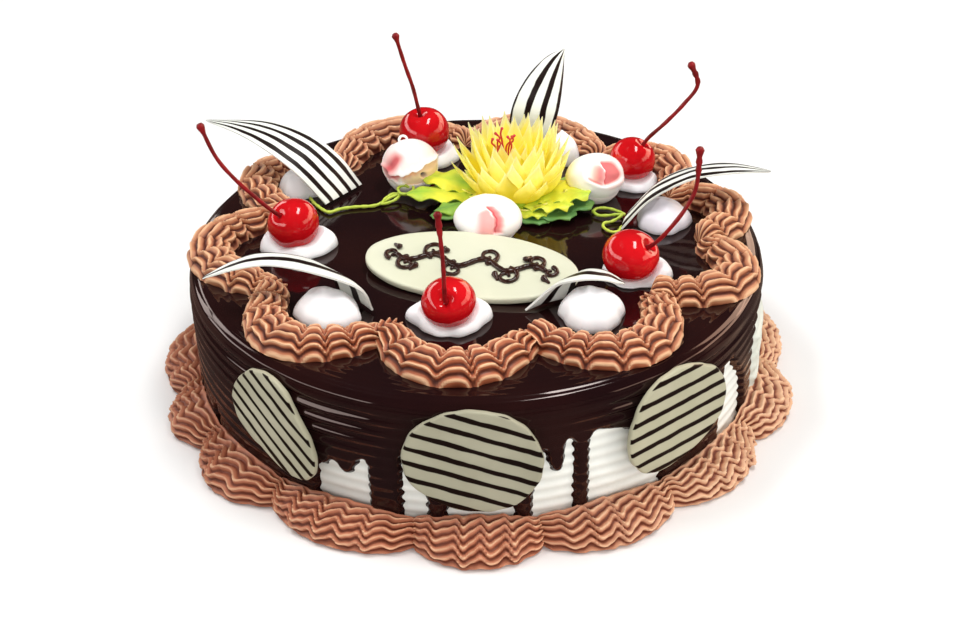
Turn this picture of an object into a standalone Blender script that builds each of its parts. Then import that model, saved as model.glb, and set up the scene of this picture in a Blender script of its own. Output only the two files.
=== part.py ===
"""Birthday cake: a round cream-iced cake under a dark chocolate glaze, with two
piped borders, three striped white-chocolate discs on its side and, on top,
cherries on cream dollops, plain dollops with striped chocolate curls, three
sugar roses, a yellow flower on its leaves and an oval white-chocolate plaque.

One named object for each piece. Lengths below are millimetres, +Z is up, the
cake stands on z = 0 with its axis on the Z axis, and its front faces -Y.
Angles are degrees, counter-clockwise from +X seen from above.
"""
import math

import bmesh
import bpy
from mathutils import Vector

for ob in list(bpy.data.objects):
    bpy.data.objects.remove(ob, do_unlink=True)

MM = 0.001
TAU = 2.0 * math.pi
GAP = 0.3                    # clearance between neighbouring pieces

# ---- cake and glaze --------------------------------------------------------
CAKE_R = 100.0               # outer radius of the glazed side
CAKE_TOP = 53.0              # top of the glaze
SHOULDER = 5.5               # radius of the rounded top edge
GLAZE_T = 1.4                # glaze thickness on the side and on the top
GLAZE_LOW = 6.0              # where unbroken glaze ends, behind the base border
STEPS_ROUND = 48             # even divisions round the cake
# openings where the cream side shows below the glaze: (centre measured from
# the front towards the right, half width, top height)
WINDOWS = [(-74.0, 2.4, 15.0), (-60.5, 1.6, 15.5), (-29.6, 2.4, 23.0),
           (-26.5, 4.9, 20.0), (-23.7, 2.3, 27.5), (-11.3, 3.0, 35.0),
           (0.3, 5.9, 33.0), (12.9, 3.9, 25.0), (10.7, 1.6, 34.0),
           (15.9, 0.9, 36.0), (24.2, 4.1, 37.0), (40.0, 6.0, 30.0),
           (59.0, 4.0, 36.0), (76.5, 8.0, 48.0)]
BACK_WINDOWS = 6             # similar openings spread round the hidden back

# ---- piped borders ---------------------------------------------------------
# the top rope is piped in ten strokes: where they meet, the crest line's radius
# there, and its radius in the middle of each stroke
TOP_CUSPS = [205.6, 243.9, 285.4, 326.0, 356.5, 382.0, 411.0, 452.6, 493.0, 525.0]
TOP_CUSP_R = [73.5, 65.0, 64.0, 69.5, 78.0, 76.5, 73.0, 73.0, 72.0, 67.0]
TOP_TIPS = [89.7, 83.4, 88.9, 92.7, 91.8, 89.0, 86.4, 87.5, 91.5, 92.5]
TOP_HALF = 7.5               # half the width of the piped rope
TOP_HALF_CUSP = 4.2          # and where a stroke starts or ends
TOP_H = 7.2                  # height of the rope
TOP_MAX_R = 99.5
TOP_RIBS = 5
TOP_POWER = 0.9              # how round each stroke's sweep is
BASE_CUSPS = [190.5, 207.8, 230.0, 258.5, 281.0, 307.0, 332.2, 355.0]
BASE_LOBES_BEHIND = 8
BASE_TIP_R = 114.2
BASE_CUSP_R = 105.8
BASE_H = 11.0
BASE_RIBS = 3

# ---- toppings: (x, y, base radius, height), and what sits on them ----------
Z0 = CAKE_TOP + GAP          # underside of everything on the top
CHERRIES = [  # dollop x, y, radius, height | cherry x, y, radius, half height, cream below it
    (-8.9, -47.6, 13.4, 3.8, -8.9, -53.6, 9.0, 7.2, 1.0),
    (-62.2, 0.4, 13.0, 3.8, -63.1, -2.0, 9.0, 8.0, 1.0),
    (53.2, -21.6, 12.8, 3.2, 52.0, -27.0, 9.7, 7.6, 1.0),
    (57.4, 41.2, 12.2, 3.8, 58.3, 42.2, 8.4, 7.0, 2.4),
    (-19.8, 62.8, 12.0, 4.0, -18.9, 65.4, 9.7, 8.0, 2.4)]
PLAIN = [(-47.9, -47.0, 11.4, 9.0), (37.5, -51.2, 10.6, 10.2),
         (66.7, 10.8, 9.7, 9.0), (-64.2, 40.4, 9.7, 9.6), (33.8, 60.6, 7.2, 11.5)]
ROSES = [(-22.4, 41.6, 12.4, 18.0), (4.2, 3.6, 12.0, 15.0), (45.0, 29.4, 10.4, 16.6)]
FLOWER = (14.4, 29.2)
FLOWER_Z = 57.6              # underside of the flower, on its leaves
FLOWER_R = 29.5
FLOWER_H = 22.0
PLAQUE = (-1.6, -23.8)
PLAQUE_A, PLAQUE_B = 37.0, 17.6
PLAQUE_T = 2.4
PLAQUE_TURN = -14.5          # turn of its long axis
PLAQUE_TILT = 8.0            # its back edge is raised against the middle rose

STEM_R = 0.95
# points each stem passes after it leaves its cherry, up to the free end
STEMS = [
    [(-10.2, -63.0, 82.0), (-11.5, -61.0, 98.5)],
    [(-73.6, -8.0, 75.0), (-81.0, -6.0, 81.8), (-87.0, -5.0, 90.0), (-91.6, -4.0, 102.0)],
    [(64.2, -32.5, 75.6), (68.8, -32.0, 82.5), (72.0, -31.0, 90.0), (72.5, -31.0, 104.0)],
    [(69.5, 40.4, 77.8), (76.0, 41.0, 85.0), (80.5, 41.0, 92.5), (77.5, 41.0, 101.0)],
    [(-22.6, 65.0, 82.0), (-25.4, 64.6, 92.0), (-28.4, 64.0, 104.0)]]

CURL_T = 1.5                 # thickness of a chocolate curl
# the two long edges of each curl, from the cut end standing on the cake to the
# point where they meet
CURLS = [
    ([(-54.2, 26.0, 54.2), (-63.5, 29.5, 64.0), (-73.5, 34.0, 71.0), (-85.5, 42.0, 75.0), (-99.0, 50.0, 77.0)],
     [(-42.0, 41.0, 54.2), (-49.5, 42.5, 65.0), (-59.5, 46.0, 72.0), (-75.0, 49.0, 76.5), (-99.0, 50.0, 77.0)]),
    ([(13.5, 66.0, 54.2), (14.0, 66.5, 70.5), (19.5, 74.0, 80.0), (27.5, 82.0, 85.5), (35.0, 88.0, 86.5)],
     [(27.3, 67.5, 54.2), (31.5, 68.0, 67.5), (33.5, 75.0, 74.5), (34.5, 82.0, 81.0), (35.0, 88.0, 86.5)]),
    ([(51.5, 4.5, 54.2), (61.5, 8.0, 63.5), (75.5, 9.5, 70.5), (89.5, 11.0, 72.0), (104.5, 12.0, 72.0)],
     [(57.0, 14.5, 57.0), (66.5, 19.5, 65.2), (77.8, 23.5, 68.2), (91.0, 20.5, 71.2), (104.5, 12.0, 72.0)]),
    ([(-34.0, -46.5, 54.2), (-37.6, -48.4, 63.4), (-52.0, -48.0, 69.4), (-66.5, -46.5, 71.8), (-78.0, -45.5, 69.8), (-89.5, -43.0, 65.0)],
     [(-46.0, -35.5, 54.2), (-48.5, -34.5, 61.5), (-57.0, -36.0, 68.5), (-69.5, -38.5, 71.8), (-79.0, -40.5, 70.1), (-89.5, -43.0, 65.0)]),
    ([(16.0, -48.0, 54.2), (25.0, -48.6, 63.2), (33.0, -51.0, 67.0), (40.5, -50.5, 66.8), (45.5, -47.8, 63.8), (48.5, -44.0, 61.0)],
     [(32.0, -40.0, 54.2), (33.0, -39.5, 60.5), (36.5, -41.0, 65.0), (41.5, -41.5, 65.0), (45.5, -42.0, 63.0), (48.5, -44.0, 61.0)])]

# ---- striped discs on the side --------------------------------------------
# (turn from the front towards the right, height of the centre, width, height)
DISCS = [(-41.5, 29.3, 41.0, 35.2), (-1.5, 31.6, 45.0, 40.5), (39.3, 30.4, 45.0, 36.6)]
DISC_T = 2.0


# ---- materials -------------------------------------------------------------
def material(name, rgb, rough, coat=0.0):
    m = bpy.data.materials.new(name)
    m.use_nodes = True
    b = m.node_tree.nodes["Principled BSDF"]
    b.inputs["Base Color"].default_value = (*rgb, 1.0)
    b.inputs["Roughness"].default_value = rough
    b.inputs["Metallic"].default_value = 0.0
    b.inputs["Coat Weight"].default_value = coat
    return m


CREAM = material("cream_icing", (0.82, 0.80, 0.76), 0.55)
GLAZE = material("dark_glaze", (0.022, 0.008, 0.009), 0.12, 0.6)
PIPING = material("mocha_piping", (0.62, 0.30, 0.17), 0.5)
WHITE = material("whipped_cream", (0.88, 0.86, 0.87), 0.5)
CHERRY = material("red_cherry", (0.62, 0.006, 0.010), 0.15, 0.5)
STEM = material("cherry_stem", (0.16, 0.008, 0.008), 0.4)
DISC = material("striped_disc", (0.50, 0.50, 0.31), 0.35)
CURL = material("striped_curl", (0.80, 0.78, 0.72), 0.35)
ROSE = material("sugar_rose", (0.84, 0.55, 0.50), 0.5)
PETAL = material("yellow_petals", (0.90, 0.80, 0.08), 0.5)
LEAF = material("green_leaves", (0.35, 0.52, 0.07), 0.5)
PLATE = material("plaque_chocolate", (0.85, 0.85, 0.62), 0.35)


# ---- helpers ---------------------------------------------------------------
def add(name, verts, faces, mat, smooth=35.0):
    """One closed mesh object from millimetre coordinates."""
    me = bpy.data.meshes.new(name)
    me.from_pydata([(x * MM, y * MM, z * MM) for x, y, z in verts], [], faces)
    bm = bmesh.new()
    bm.from_mesh(me)
    bmesh.ops.recalc_face_normals(bm, faces=bm.faces)
    bmesh.ops.triangulate(bm, faces=bm.faces)
    bm.to_mesh(me)
    bm.free()
    me.shade_smooth()
    me.set_sharp_from_angle(angle=math.radians(smooth))
    me.materials.append(mat)
    ob = bpy.data.objects.new(name, me)
    bpy.context.scene.collection.objects.link(ob)
    return ob


def polar(r, deg, z):
    a = math.radians(deg)
    return (r * math.cos(a), r * math.sin(a), z)


def band(faces, a, b, n):
    """Quads between two closed rings of n vertices that start at a and b."""
    for i in range(n):
        j = (i + 1) % n
        faces.append((a + i, a + j, b + j, b + i))


def catmull(points, t):
    """Point at t in 0..1 on a smooth curve through the given points."""
    n = len(points) - 1
    x = min(max(t, 0.0), 1.0) * n
    i = min(int(x), n - 1)
    u = x - i
    p1, p2 = Vector(points[i]), Vector(points[i + 1])
    p0 = Vector(points[i - 1]) if i > 0 else 2 * p1 - p2
    p3 = Vector(points[i + 2]) if i + 2 <= n else 2 * p2 - p1
    return 0.5 * ((2 * p1) + (p2 - p0) * u + (2 * p0 - 5 * p1 + 4 * p2 - p3) * u * u
                  + (3 * p1 - p0 - 3 * p2 + p3) * u ** 3)


# ---- glaze edge ------------------------------------------------------------
def all_windows():
    wins = [((270.0 + c) % 360.0, hw, top) for c, hw, top in WINDOWS]
    for k in range(BACK_WINDOWS):
        c = 90.0 + (k - (BACK_WINDOWS - 1) / 2) * 21.0
        hw = (3.6, 5.2, 2.6, 4.4)[k % 4]
        top = (31.0, 24.0, 36.0, 27.0)[(k * 3) % 4]
        wins.append((c % 360.0, hw, top))
    return wins


ALL_WINDOWS = all_windows()


def turn_between(a, b):
    return (a - b + 180.0) % 360.0 - 180.0


def glaze_edge(deg):
    """Height of the glaze's lower edge at an angle."""
    z = GLAZE_LOW
    for c, hw, top in ALL_WINDOWS:
        x = abs(turn_between(deg, c)) / hw
        if x < 1.0:
            z = max(z, GLAZE_LOW + (top - GLAZE_LOW) * (1.0 - x ** 4) ** 0.5)
    return z


def glaze_angles():
    keep = set()
    for c, hw, _ in ALL_WINDOWS:
        for f in ((-1.0, -0.9, 0.0, 0.9, 1.0) if hw > 2.0 else (-1.0, -0.8, 0.8, 1.0)):
            keep.add(round((c + f * hw) % 360.0, 3))
    out = []
    for a in sorted(keep):
        if not out or a - out[-1] > 0.25:
            out.append(a)
    for k in range(STEPS_ROUND):
        a = k * 360.0 / STEPS_ROUND
        if min(abs(turn_between(a, b)) for b in out) > 1.6:
            out.append(a)
    return sorted(out)


def revolve_rings(profile, angles):
    """Rings of vertices for (radius, height) pairs, outside in."""
    verts = []
    for r, z in profile:
        for a in angles:
            verts.append(polar(r, a, z))
    return verts


# ---- cake body -------------------------------------------------------------
def make_body():
    r, top = CAKE_R - GLAZE_T - 0.5, CAKE_TOP - GLAZE_T - GAP
    n = STEPS_ROUND
    ang = [k * 360.0 / n for k in range(n)]
    sh = SHOULDER - GLAZE_T
    prof = [(r, 0.0), (r, top - sh), (r - sh, top)]
    verts = revolve_rings(prof, ang)
    faces = [tuple(range(n))]
    for k in range(len(prof) - 1):
        band(faces, k * n, (k + 1) * n, n)
    faces.append(tuple(range((len(prof) - 1) * n, len(prof) * n)))
    return add("cake_body", verts, faces, CREAM)


def make_glaze():
    ang = glaze_angles()
    n = len(ang)
    edge = [glaze_edge(a) for a in ang]
    ri = CAKE_R - GLAZE_T
    ti = CAKE_TOP - GLAZE_T
    rings = [[polar(ri, a, e) for a, e in zip(ang, edge)],            # lower inner
             [polar(CAKE_R - 0.35, a, e - 0.25) for a, e in zip(ang, edge)],
             [polar(CAKE_R, a, CAKE_TOP - SHOULDER) for a in ang],
             [polar(CAKE_R - SHOULDER * 0.3, a, CAKE_TOP - SHOULDER * 0.3) for a in ang],
             [polar(CAKE_R - SHOULDER, a, CAKE_TOP) for a in ang]]
    si = SHOULDER - GLAZE_T
    inner = [[polar(ri, a, ti - si) for a in ang],
             [polar(ri - si, a, ti) for a in ang]]
    verts = [v for ring in rings + inner for v in ring]
    faces = []
    for k in range(4):
        band(faces, k * n, (k + 1) * n, n)
    faces.append(tuple(range(4 * n, 5 * n)))
    band(faces, 0, 5 * n, n)
    band(faces, 5 * n, 6 * n, n)
    faces.append(tuple(range(6 * n, 7 * n)))
    return add("chocolate_glaze", verts, faces, GLAZE)


# ---- piped borders ---------------------------------------------------------
def lobe(deg, cusps):
    """Which lobe of a scalloped line an angle falls in, and how far along it."""
    d = (deg - cusps[0]) % 360.0 + cusps[0]
    for i, a in enumerate(cusps):
        b = cusps[i + 1] if i + 1 < len(cusps) else cusps[0] + 360.0
        if a <= d < b:
            return i, (d - a) / (b - a)
    return 0, 0.0


def lobe_radius(deg, cusps, tips, cusp_r, power):
    """Crest radius of a scalloped line with sharp inward cusps."""
    i, u = lobe(deg, cusps)
    base = cusp_r[i] * (1.0 - u) + cusp_r[(i + 1) % len(cusps)] * u
    return base + (tips[i] - base) * max(math.sin(math.pi * u), 0.0) ** power


def rope_extent():
    """Inner and outer radius, against angle, of a rope laid on the crest line."""
    line = []
    for k in range(1440):
        a = k * 0.25
        _, u = lobe(a, TOP_CUSPS)
        half = TOP_HALF_CUSP + (TOP_HALF - TOP_HALF_CUSP) * max(math.sin(math.pi * u), 0.0) ** 0.6
        line.append((lobe_radius(a, TOP_CUSPS, TOP_TIPS, TOP_CUSP_R, TOP_POWER), a, half))

    def at(deg):
        lo, hi = 1e9, 0.0
        for r, a, half in line:
            d = turn_between(a, deg)
            if abs(d) > 12.0:
                continue
            s = r * math.sin(math.radians(d))
            if abs(s) < half:
                h = math.sqrt(half ** 2 - s * s)
                c = r * math.cos(math.radians(d))
                lo, hi = min(lo, c - h), max(hi, c + h)
        return lo, min(hi, TOP_MAX_R)
    return at


EXTENT = rope_extent()


def make_top_border():
    n = 90
    k = 2 * TOP_RIBS + 1
    verts = []
    for i in range(n):
        a = i * 360.0 / n
        lo, hi = EXTENT(a)
        for j in range(k):
            u = j / (k - 1)
            x = math.cos(math.pi * (1.0 - u))          # -1 inner .. +1 outer
            dome = math.sin(math.pi * u) ** 0.62 if 0 < j < k - 1 else 0.0
            rib = 1.0 if j % 2 else 0.90
            wave = 1.0 + 0.03 * math.sin(math.radians(a) * 60.0)
            verts.append(polar(0.5 * (lo + hi) + 0.5 * (hi - lo) * x * (1.0 if j % 2 or j in (0, k - 1) else 0.985),
                               a, Z0 + TOP_H * dome * (rib if 0 < j < k - 1 else 1.0) * wave))
    faces = []
    for i in range(n):
        m = (i + 1) % n
        for j in range(k):
            q = (j + 1) % k
            faces.append((i * k + j, m * k + j, m * k + q, i * k + q))
    return add("top_border", verts, faces, PIPING)


def base_cusps():
    cusps = list(BASE_CUSPS)
    last, end = cusps[-1], cusps[0] + 360.0
    step = (end - last) / BASE_LOBES_BEHIND
    cusps += [last + step * i for i in range(1, BASE_LOBES_BEHIND)]
    return cusps


def make_base_border():
    cusps = base_cusps()
    tips = [BASE_TIP_R + 1.0 * math.sin(2.4 * i) for i in range(len(cusps))]
    angles = []
    for i, a in enumerate(cusps):
        b = cusps[i + 1] if i + 1 < len(cusps) else cusps[0] + 360.0
        angles += [a + (b - a) * s for s in (0.0, 0.09, 0.28, 0.5, 0.72, 0.91)]
    wall = CAKE_R + 0.4
    k = 2 + 2 * BASE_RIBS
    verts = []
    for a in angles:
        out = lobe_radius(a, cusps, tips, [BASE_CUSP_R] * len(cusps), 0.7)
        h = BASE_H * (0.80 + 0.20 * (out - BASE_CUSP_R) / (BASE_TIP_R - BASE_CUSP_R))
        verts.append(polar(wall, a, 0.0))
        verts.append(polar(wall, a, h * 0.86))
        for j in range(1, 2 * BASE_RIBS):
            u = j / (2 * BASE_RIBS)
            x = math.sin(0.5 * math.pi * u)
            y = math.cos(0.5 * math.pi * u) ** 0.7
            s = 1.04 if j % 2 else 0.93
            verts.append(polar(wall + (out - wall) * x * s * 0.96, a, max(h * y * s, 0.8)))
        verts.append(polar(out, a, 0.0))
    n = len(angles)
    faces = []
    for i in range(n):
        m = (i + 1) % n
        for j in range(k):
            q = (j + 1) % k
            faces.append((i * k + j, m * k + j, m * k + q, i * k + q))
    return add("base_border", verts, faces, PIPING)


# ---- discs on the side -----------------------------------------------------
def make_disc(index, phi, zc, width, height):
    """A thin flat oval plate that stands against the cake's side."""
    n = 16
    a = math.radians(270.0 + phi)
    out, side = (math.cos(a), math.sin(a)), (-math.sin(a), math.cos(a))
    verts, faces = [], []
    for depth, inset in ((0.0, 0.0), (DISC_T - 0.5, 0.0), (DISC_T, 0.7)):
        r = CAKE_R + 0.4 + depth
        for i in range(n):
            t = TAU * i / n
            s = (0.5 * width - inset) * math.cos(t)
            verts.append((r * out[0] + s * side[0], r * out[1] + s * side[1],
                          zc + (0.5 * height - inset) * math.sin(t)))
    faces.append(tuple(range(n)))
    band(faces, 0, n, n)
    band(faces, n, 2 * n, n)
    faces.append(tuple(range(2 * n, 3 * n)))
    return add("disc_%d" % index, verts, faces, DISC)


# ---- things on the top -----------------------------------------------------
def blocked(x, y, own):
    """True where a topping's foot would come too close to its neighbours."""
    r = math.hypot(x, y)
    lo, _ = EXTENT(math.degrees(math.atan2(y, x)) % 360.0)
    if r > lo - 0.6:
        return True
    for kind, data in OBSTACLES:
        if kind == own:
            continue
        if math.hypot(x - data[0], y - data[1]) < data[2]:
            return True
    c, s = math.cos(math.radians(PLAQUE_TURN)), math.sin(math.radians(PLAQUE_TURN))
    px, py = x - PLAQUE[0], y - PLAQUE[1]
    u, v = px * c + py * s, -px * s + py * c
    return own != "plaque" and (u / (PLAQUE_A + 0.8)) ** 2 + (v / (PLAQUE_B + 0.8)) ** 2 < 1.0


def foot_radius(cx, cy, rmax, deg, own, least=4.0):
    """Radius of a foot in one direction, drawn in where a neighbour is close."""
    a = math.radians(deg)
    r = rmax
    while r > least and blocked(cx + r * math.cos(a), cy + r * math.sin(a), own):
        r -= 0.25
    return r


OBSTACLES = []
for i, (cx, cy, rr, _) in enumerate(ROSES):
    OBSTACLES.append(("rose_%d" % (i + 1), (cx, cy, rr + 0.7)))
for i, d in enumerate(CHERRIES):
    OBSTACLES.append(("dollop_%d" % (i + 1), (d[0], d[1], d[2] + 0.7)))
for i, d in enumerate(PLAIN):
    OBSTACLES.append(("dollop_%d" % (i + 6), (d[0], d[1], d[2] + 0.7)))
for i, (ea, eb) in enumerate(CURLS):
    for s in range(9):
        p = Vector(ea[0]).lerp(Vector(eb[0]), s / 8)
        OBSTACLES.append(("curl_%d" % (i + 1), (p.x, p.y, 1.9)))


def make_dollop(index, cx, cy, radius, height, lean, cherry=None):
    """A spooned mound of cream; one that holds a cherry is hollowed for it."""
    n = 12
    name = "dollop_%d" % index
    verts, faces = [], []
    if cherry is None:
        ox, oy = cx, cy
        feet = [foot_radius(cx, cy, radius * (1.0 + 0.05 * math.sin(3 * TAU * i / n + index)), 360.0 * i / n, name)
                for i in range(n)]
    else:
        # measured from the cherry's axis out to the mound's own round outline
        ox, oy, hr, hz, under = cherry

        def cup(lift):
            """Radius of the hollow at a height above the cake."""
            return hr * math.sqrt(max(1.0 - (1.0 - (lift - under) / hz) ** 2, 0.2)) + 0.9

        feet = []
        for i in range(n):
            a = TAU * i / n
            px, py = ox - cx, oy - cy
            b = px * math.cos(a) + py * math.sin(a)
            reach = -b + math.sqrt(b * b - (px * px + py * py - radius * radius))
            feet.append(foot_radius(ox, oy, max(reach, cup(height) + 1.3), 360.0 * i / n, name, cup(height) + 1.0))

    def ring(scale, z, dx=0.0, dy=0.0):
        for i in range(n):
            a = TAU * i / n
            verts.append((ox + dx + feet[i] * scale * math.cos(a), oy + dy + feet[i] * scale * math.sin(a), z))

    ring(0.95, Z0)
    ring(1.0, Z0 + (0.22 if cherry is None else 0.45) * height)
    faces.append(tuple(range(n)))
    band(faces, 0, n, n)
    if cherry is None:
        lx, ly = lean
        ring(0.86, Z0 + 0.60 * height, 0.15 * lx, 0.15 * ly)
        ring(0.48, Z0 + 0.90 * height, 0.6 * lx, 0.6 * ly)
        band(faces, n, 2 * n, n)
        band(faces, 2 * n, 3 * n, n)
        verts.append((cx + lx, cy + ly, Z0 + height))
        for i in range(n):
            faces.append((3 * n + i, 3 * n + (i + 1) % n, 4 * n))
        return add(name, verts, faces, WHITE, 60.0)
    rings = 2
    for lift in (height, 0.55 * height, 0.5):
        for i in range(n):
            a = TAU * i / n
            rim = cup(lift)
            verts.append((ox + rim * math.cos(a), oy + rim * math.sin(a), Z0 + lift))
        band(faces, (rings - 1) * n, rings * n, n)
        rings += 1
    faces.append(tuple(range((rings - 1) * n, rings * n)))
    return add(name, verts, faces, WHITE, 60.0)


def make_cherry(index, cx, cy, radius, half, under, aim):
    """A slightly flattened round cherry with a dimple where its stem comes out."""
    n = 12
    prof = [(0.42, -0.90), (0.80, -0.58), (0.99, -0.08), (0.94, 0.33), (0.70, 0.70), (0.30, 0.88)]
    axis = Vector(aim).normalized()
    turn = Vector((0, 0, 1)).rotation_difference(axis).to_matrix()
    centre = Vector((cx, cy, Z0 + under + half))

    def point(x, y, z):
        q = turn @ Vector((x * radius, y * radius, z * radius))
        q.z *= half / radius
        return centre + q

    pts = []
    for r, z in prof:
        for i in range(n):
            a = TAU * i / n
            pts.append(point(r * math.cos(a), r * math.sin(a), z))
    pts.append(point(0, 0, -0.99))
    pts.append(point(0, 0, 0.72))
    faces = []
    for k in range(len(prof) - 1):
        band(faces, k * n, (k + 1) * n, n)
    last = (len(prof) - 1) * n
    for i in range(n):
        j = (i + 1) % n
        faces.append((i, j, len(prof) * n))
        faces.append((last + i, last + j, len(prof) * n + 1))
    add("cherry_%d" % index, [tuple(p) for p in pts], faces, CHERRY, 60.0)
    return point(0, 0, 0.72), axis


def make_stem(index, path, foot, axis):
    """A thin bent stem, a little thicker at its free end."""
    n, steps = 5, 7
    pts = [foot + axis * 0.95, foot + axis * 4.2] + [Vector(p) for p in path]
    line = [catmull(pts, k / steps) for k in range(steps + 1)]
    verts, faces = [], []
    side = Vector((1, 0, 0))
    for k, p in enumerate(line):
        q = line[min(k + 1, steps)] - line[max(k - 1, 0)]
        q.normalize()
        side = (side - q * side.dot(q)).normalized()
        up = q.cross(side)
        r = STEM_R * (0.75 if k == 0 else 0.85 + 0.55 * (k / steps) ** 4)
        for i in range(n):
            a = TAU * i / n
            verts.append(tuple(p + side * (r * math.cos(a)) + up * (r * math.sin(a))))
    faces.append(tuple(range(n)))
    for k in range(steps):
        band(faces, k * n, (k + 1) * n, n)
    faces.append(tuple(range(steps * n, (steps + 1) * n)))
    return add("stem_%d" % index, verts, faces, STEM, 60.0)


def make_curl(index, edge_a, edge_b):
    """A pointed chocolate curl: a thin plate between two curved long edges."""
    steps, across = 8, 3
    mid = []
    for k in range(steps + 1):
        t = 0.985 * k / steps
        a, b = catmull(edge_a, t), catmull(edge_b, t)
        mid.append([a.lerp(b, j / across) for j in range(across + 1)])
    verts, faces = [], []
    w = across + 1
    up = []
    for k in range(steps + 1):
        row = []
        for j in range(w):
            du = mid[min(k + 1, steps)][j] - mid[max(k - 1, 0)][j]
            dv = mid[k][across] - mid[k][0]
            row.append(du.cross(dv).normalized())
        up.append(row)
    flip = -1.0 if sum(v.z for row in up for v in row) < 0 else 1.0
    for sign in (1.0, -1.0):
        for k in range(steps + 1):
            for j in range(w):
                bow = 0.9 * math.sin(math.pi * j / across) * (1.0 - 0.8 * k / steps)
                half = 0.5 * CURL_T * (1.0 - 0.35 * k / steps)
                p = mid[k][j] + up[k][j] * flip * (bow + sign * half)
                if k == 0:
                    p.z = max(p.z, Z0)
                verts.append(tuple(p))
    m = (steps + 1) * w
    for k in range(steps):
        for j in range(across):
            a, b = k * w + j, k * w + j + 1
            c, d = (k + 1) * w + j + 1, (k + 1) * w + j
            faces.append((a, b, c, d))
            faces.append((m + a, m + d, m + c, m + b))
    for k in range(steps):
        a, d = k * w, (k + 1) * w
        faces.append((a, d, m + d, m + a))
        b, c = k * w + across, (k + 1) * w + across
        faces.append((b, m + b, m + c, c))
    for j in range(across):
        faces.append((j, m + j, m + j + 1, j + 1))
        e = steps * w + j
        faces.append((e, e + 1, m + e + 1, m + e))
    return add("curl_%d" % index, verts, faces, CURL, 40.0)


def make_rose(index, cx, cy, radius, height, lean):
    """A bud of wrapped petals: a dome whose surface steps down along a spiral."""
    n, rings = 16, 4
    name = "rose_%d" % index
    feet = [foot_radius(cx, cy, radius, 360.0 * i / n, name) for i in range(n)]
    verts, faces = [], []
    for i in range(n):
        a = TAU * i / n
        verts.append((cx + 0.62 * feet[i] * math.cos(a), cy + 0.62 * feet[i] * math.sin(a), Z0))
    for k in range(rings):
        u = 1.0 - k / rings                       # 1 at the rim .. small at the middle
        for i in range(n):
            a = TAU * i / n
            wrap = (i / n * 2.0 + k * 0.5) % 1.0  # the petal edges wind inwards
            z = Z0 + height * (math.sqrt(max(1.0 - (u * 0.93) ** 2.6, 0.0)) * (0.90 + 0.10 * wrap))
            s = u * (1.0 - 0.05 * wrap)
            verts.append((cx + feet[i] * s * math.cos(a) + lean[0] * (1 - u),
                          cy + feet[i] * s * math.sin(a) + lean[1] * (1 - u), z))
    faces.append(tuple(range(n)))
    for k in range(rings):
        band(faces, k * n, (k + 1) * n, n)
    verts.append((cx + lean[0], cy + lean[1], Z0 + height * 0.88))
    for i in range(n):
        faces.append((rings * n + i, rings * n + (i + 1) % n, (rings + 1) * n))
    return add(name, verts, faces, ROSE, 50.0)


def make_flower():
    """Layers of long pointed petals that rise and spread from one foot."""
    n = 26
    cx, cy = FLOWER
    rows = [(0.32, 0.00, 0.32, 0.00), (0.78, 0.14, 0.40, 0.08), (0.97, 0.46, 0.46, 0.22),
            (0.84, 0.76, 0.46, 0.38), (0.60, 0.97, 0.38, 0.52), (0.32, 1.00, 0.22, 0.58)]
    verts, faces = [], []
    for k, (rt, zt, rv, zv) in enumerate(rows):
        for i in range(n):
            a = TAU * (i + 0.15 * k) / n
            tip = (i + k) % 2 == 0
            long = 1.0 + 0.07 * math.sin(1.9 * i + 2.3 * k)
            r, z = (rt * long, zt * long) if tip else (rv, zv)
            r, high = FLOWER_R * r, FLOWER_Z + FLOWER_H * z
            for rx, ry, rr, rh in ROSES:           # petals stop short of the roses
                bulge = rr * math.sqrt(max(1.0 - ((high - Z0 - 3.0) / rh) ** 2, 0.0)) + 1.5
                while high < Z0 + rh + 1.0 and r > FLOWER_R * rv * 1.04 and math.hypot(
                        cx + r * math.cos(a) - rx, cy + r * math.sin(a) + 3.5 * z - ry) < bulge:
                    r -= 0.4
            verts.append((cx + r * math.cos(a), cy + r * math.sin(a) + 3.5 * z, high))
    faces.append(tuple(range(n)))
    for k in range(len(rows) - 1):
        band(faces, k * n, (k + 1) * n, n)
    verts.append((cx, cy + 2.0, FLOWER_Z + FLOWER_H * 0.62))
    for i in range(n):
        faces.append(((len(rows) - 1) * n + i, (len(rows) - 1) * n + (i + 1) % n, len(rows) * n))
    return add("flower", verts, faces, PETAL, 30.0)


def make_leaves():
    """A low rosette of ruffled leaves under the flower."""
    n = 32
    cx, cy = FLOWER
    verts, faces = [], []
    reach = []
    for i in range(n):
        deg = 360.0 * i / n
        lobes = 21.5 + 7.5 * abs(math.cos(math.radians(deg * 2.5 + 20.0))) ** 0.7 * (1.0 if 150 < deg or deg < 30 else 0.6)
        reach.append(foot_radius(cx, cy, lobes, deg, "flower_leaves", 9.5))

    def ring(scale, lift, ruffle=0.0):
        for i in range(n):
            a = TAU * i / n
            z = Z0 + lift + ruffle * (1.0 if i % 2 else 0.0)
            verts.append((cx + reach[i] * scale * math.cos(a), cy + reach[i] * scale * math.sin(a), z))

    ring(0.92, 0.0)
    ring(1.0, 1.3, 1.2)
    ring(0.80, 2.9, 0.9)
    ring(0.45, 3.6)
    faces.append(tuple(range(n)))
    for k in range(3):
        band(faces, k * n, (k + 1) * n, n)
    faces.append(tuple(range(3 * n, 4 * n)))
    return add("flower_leaves", verts, faces, LEAF, 30.0)


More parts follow.
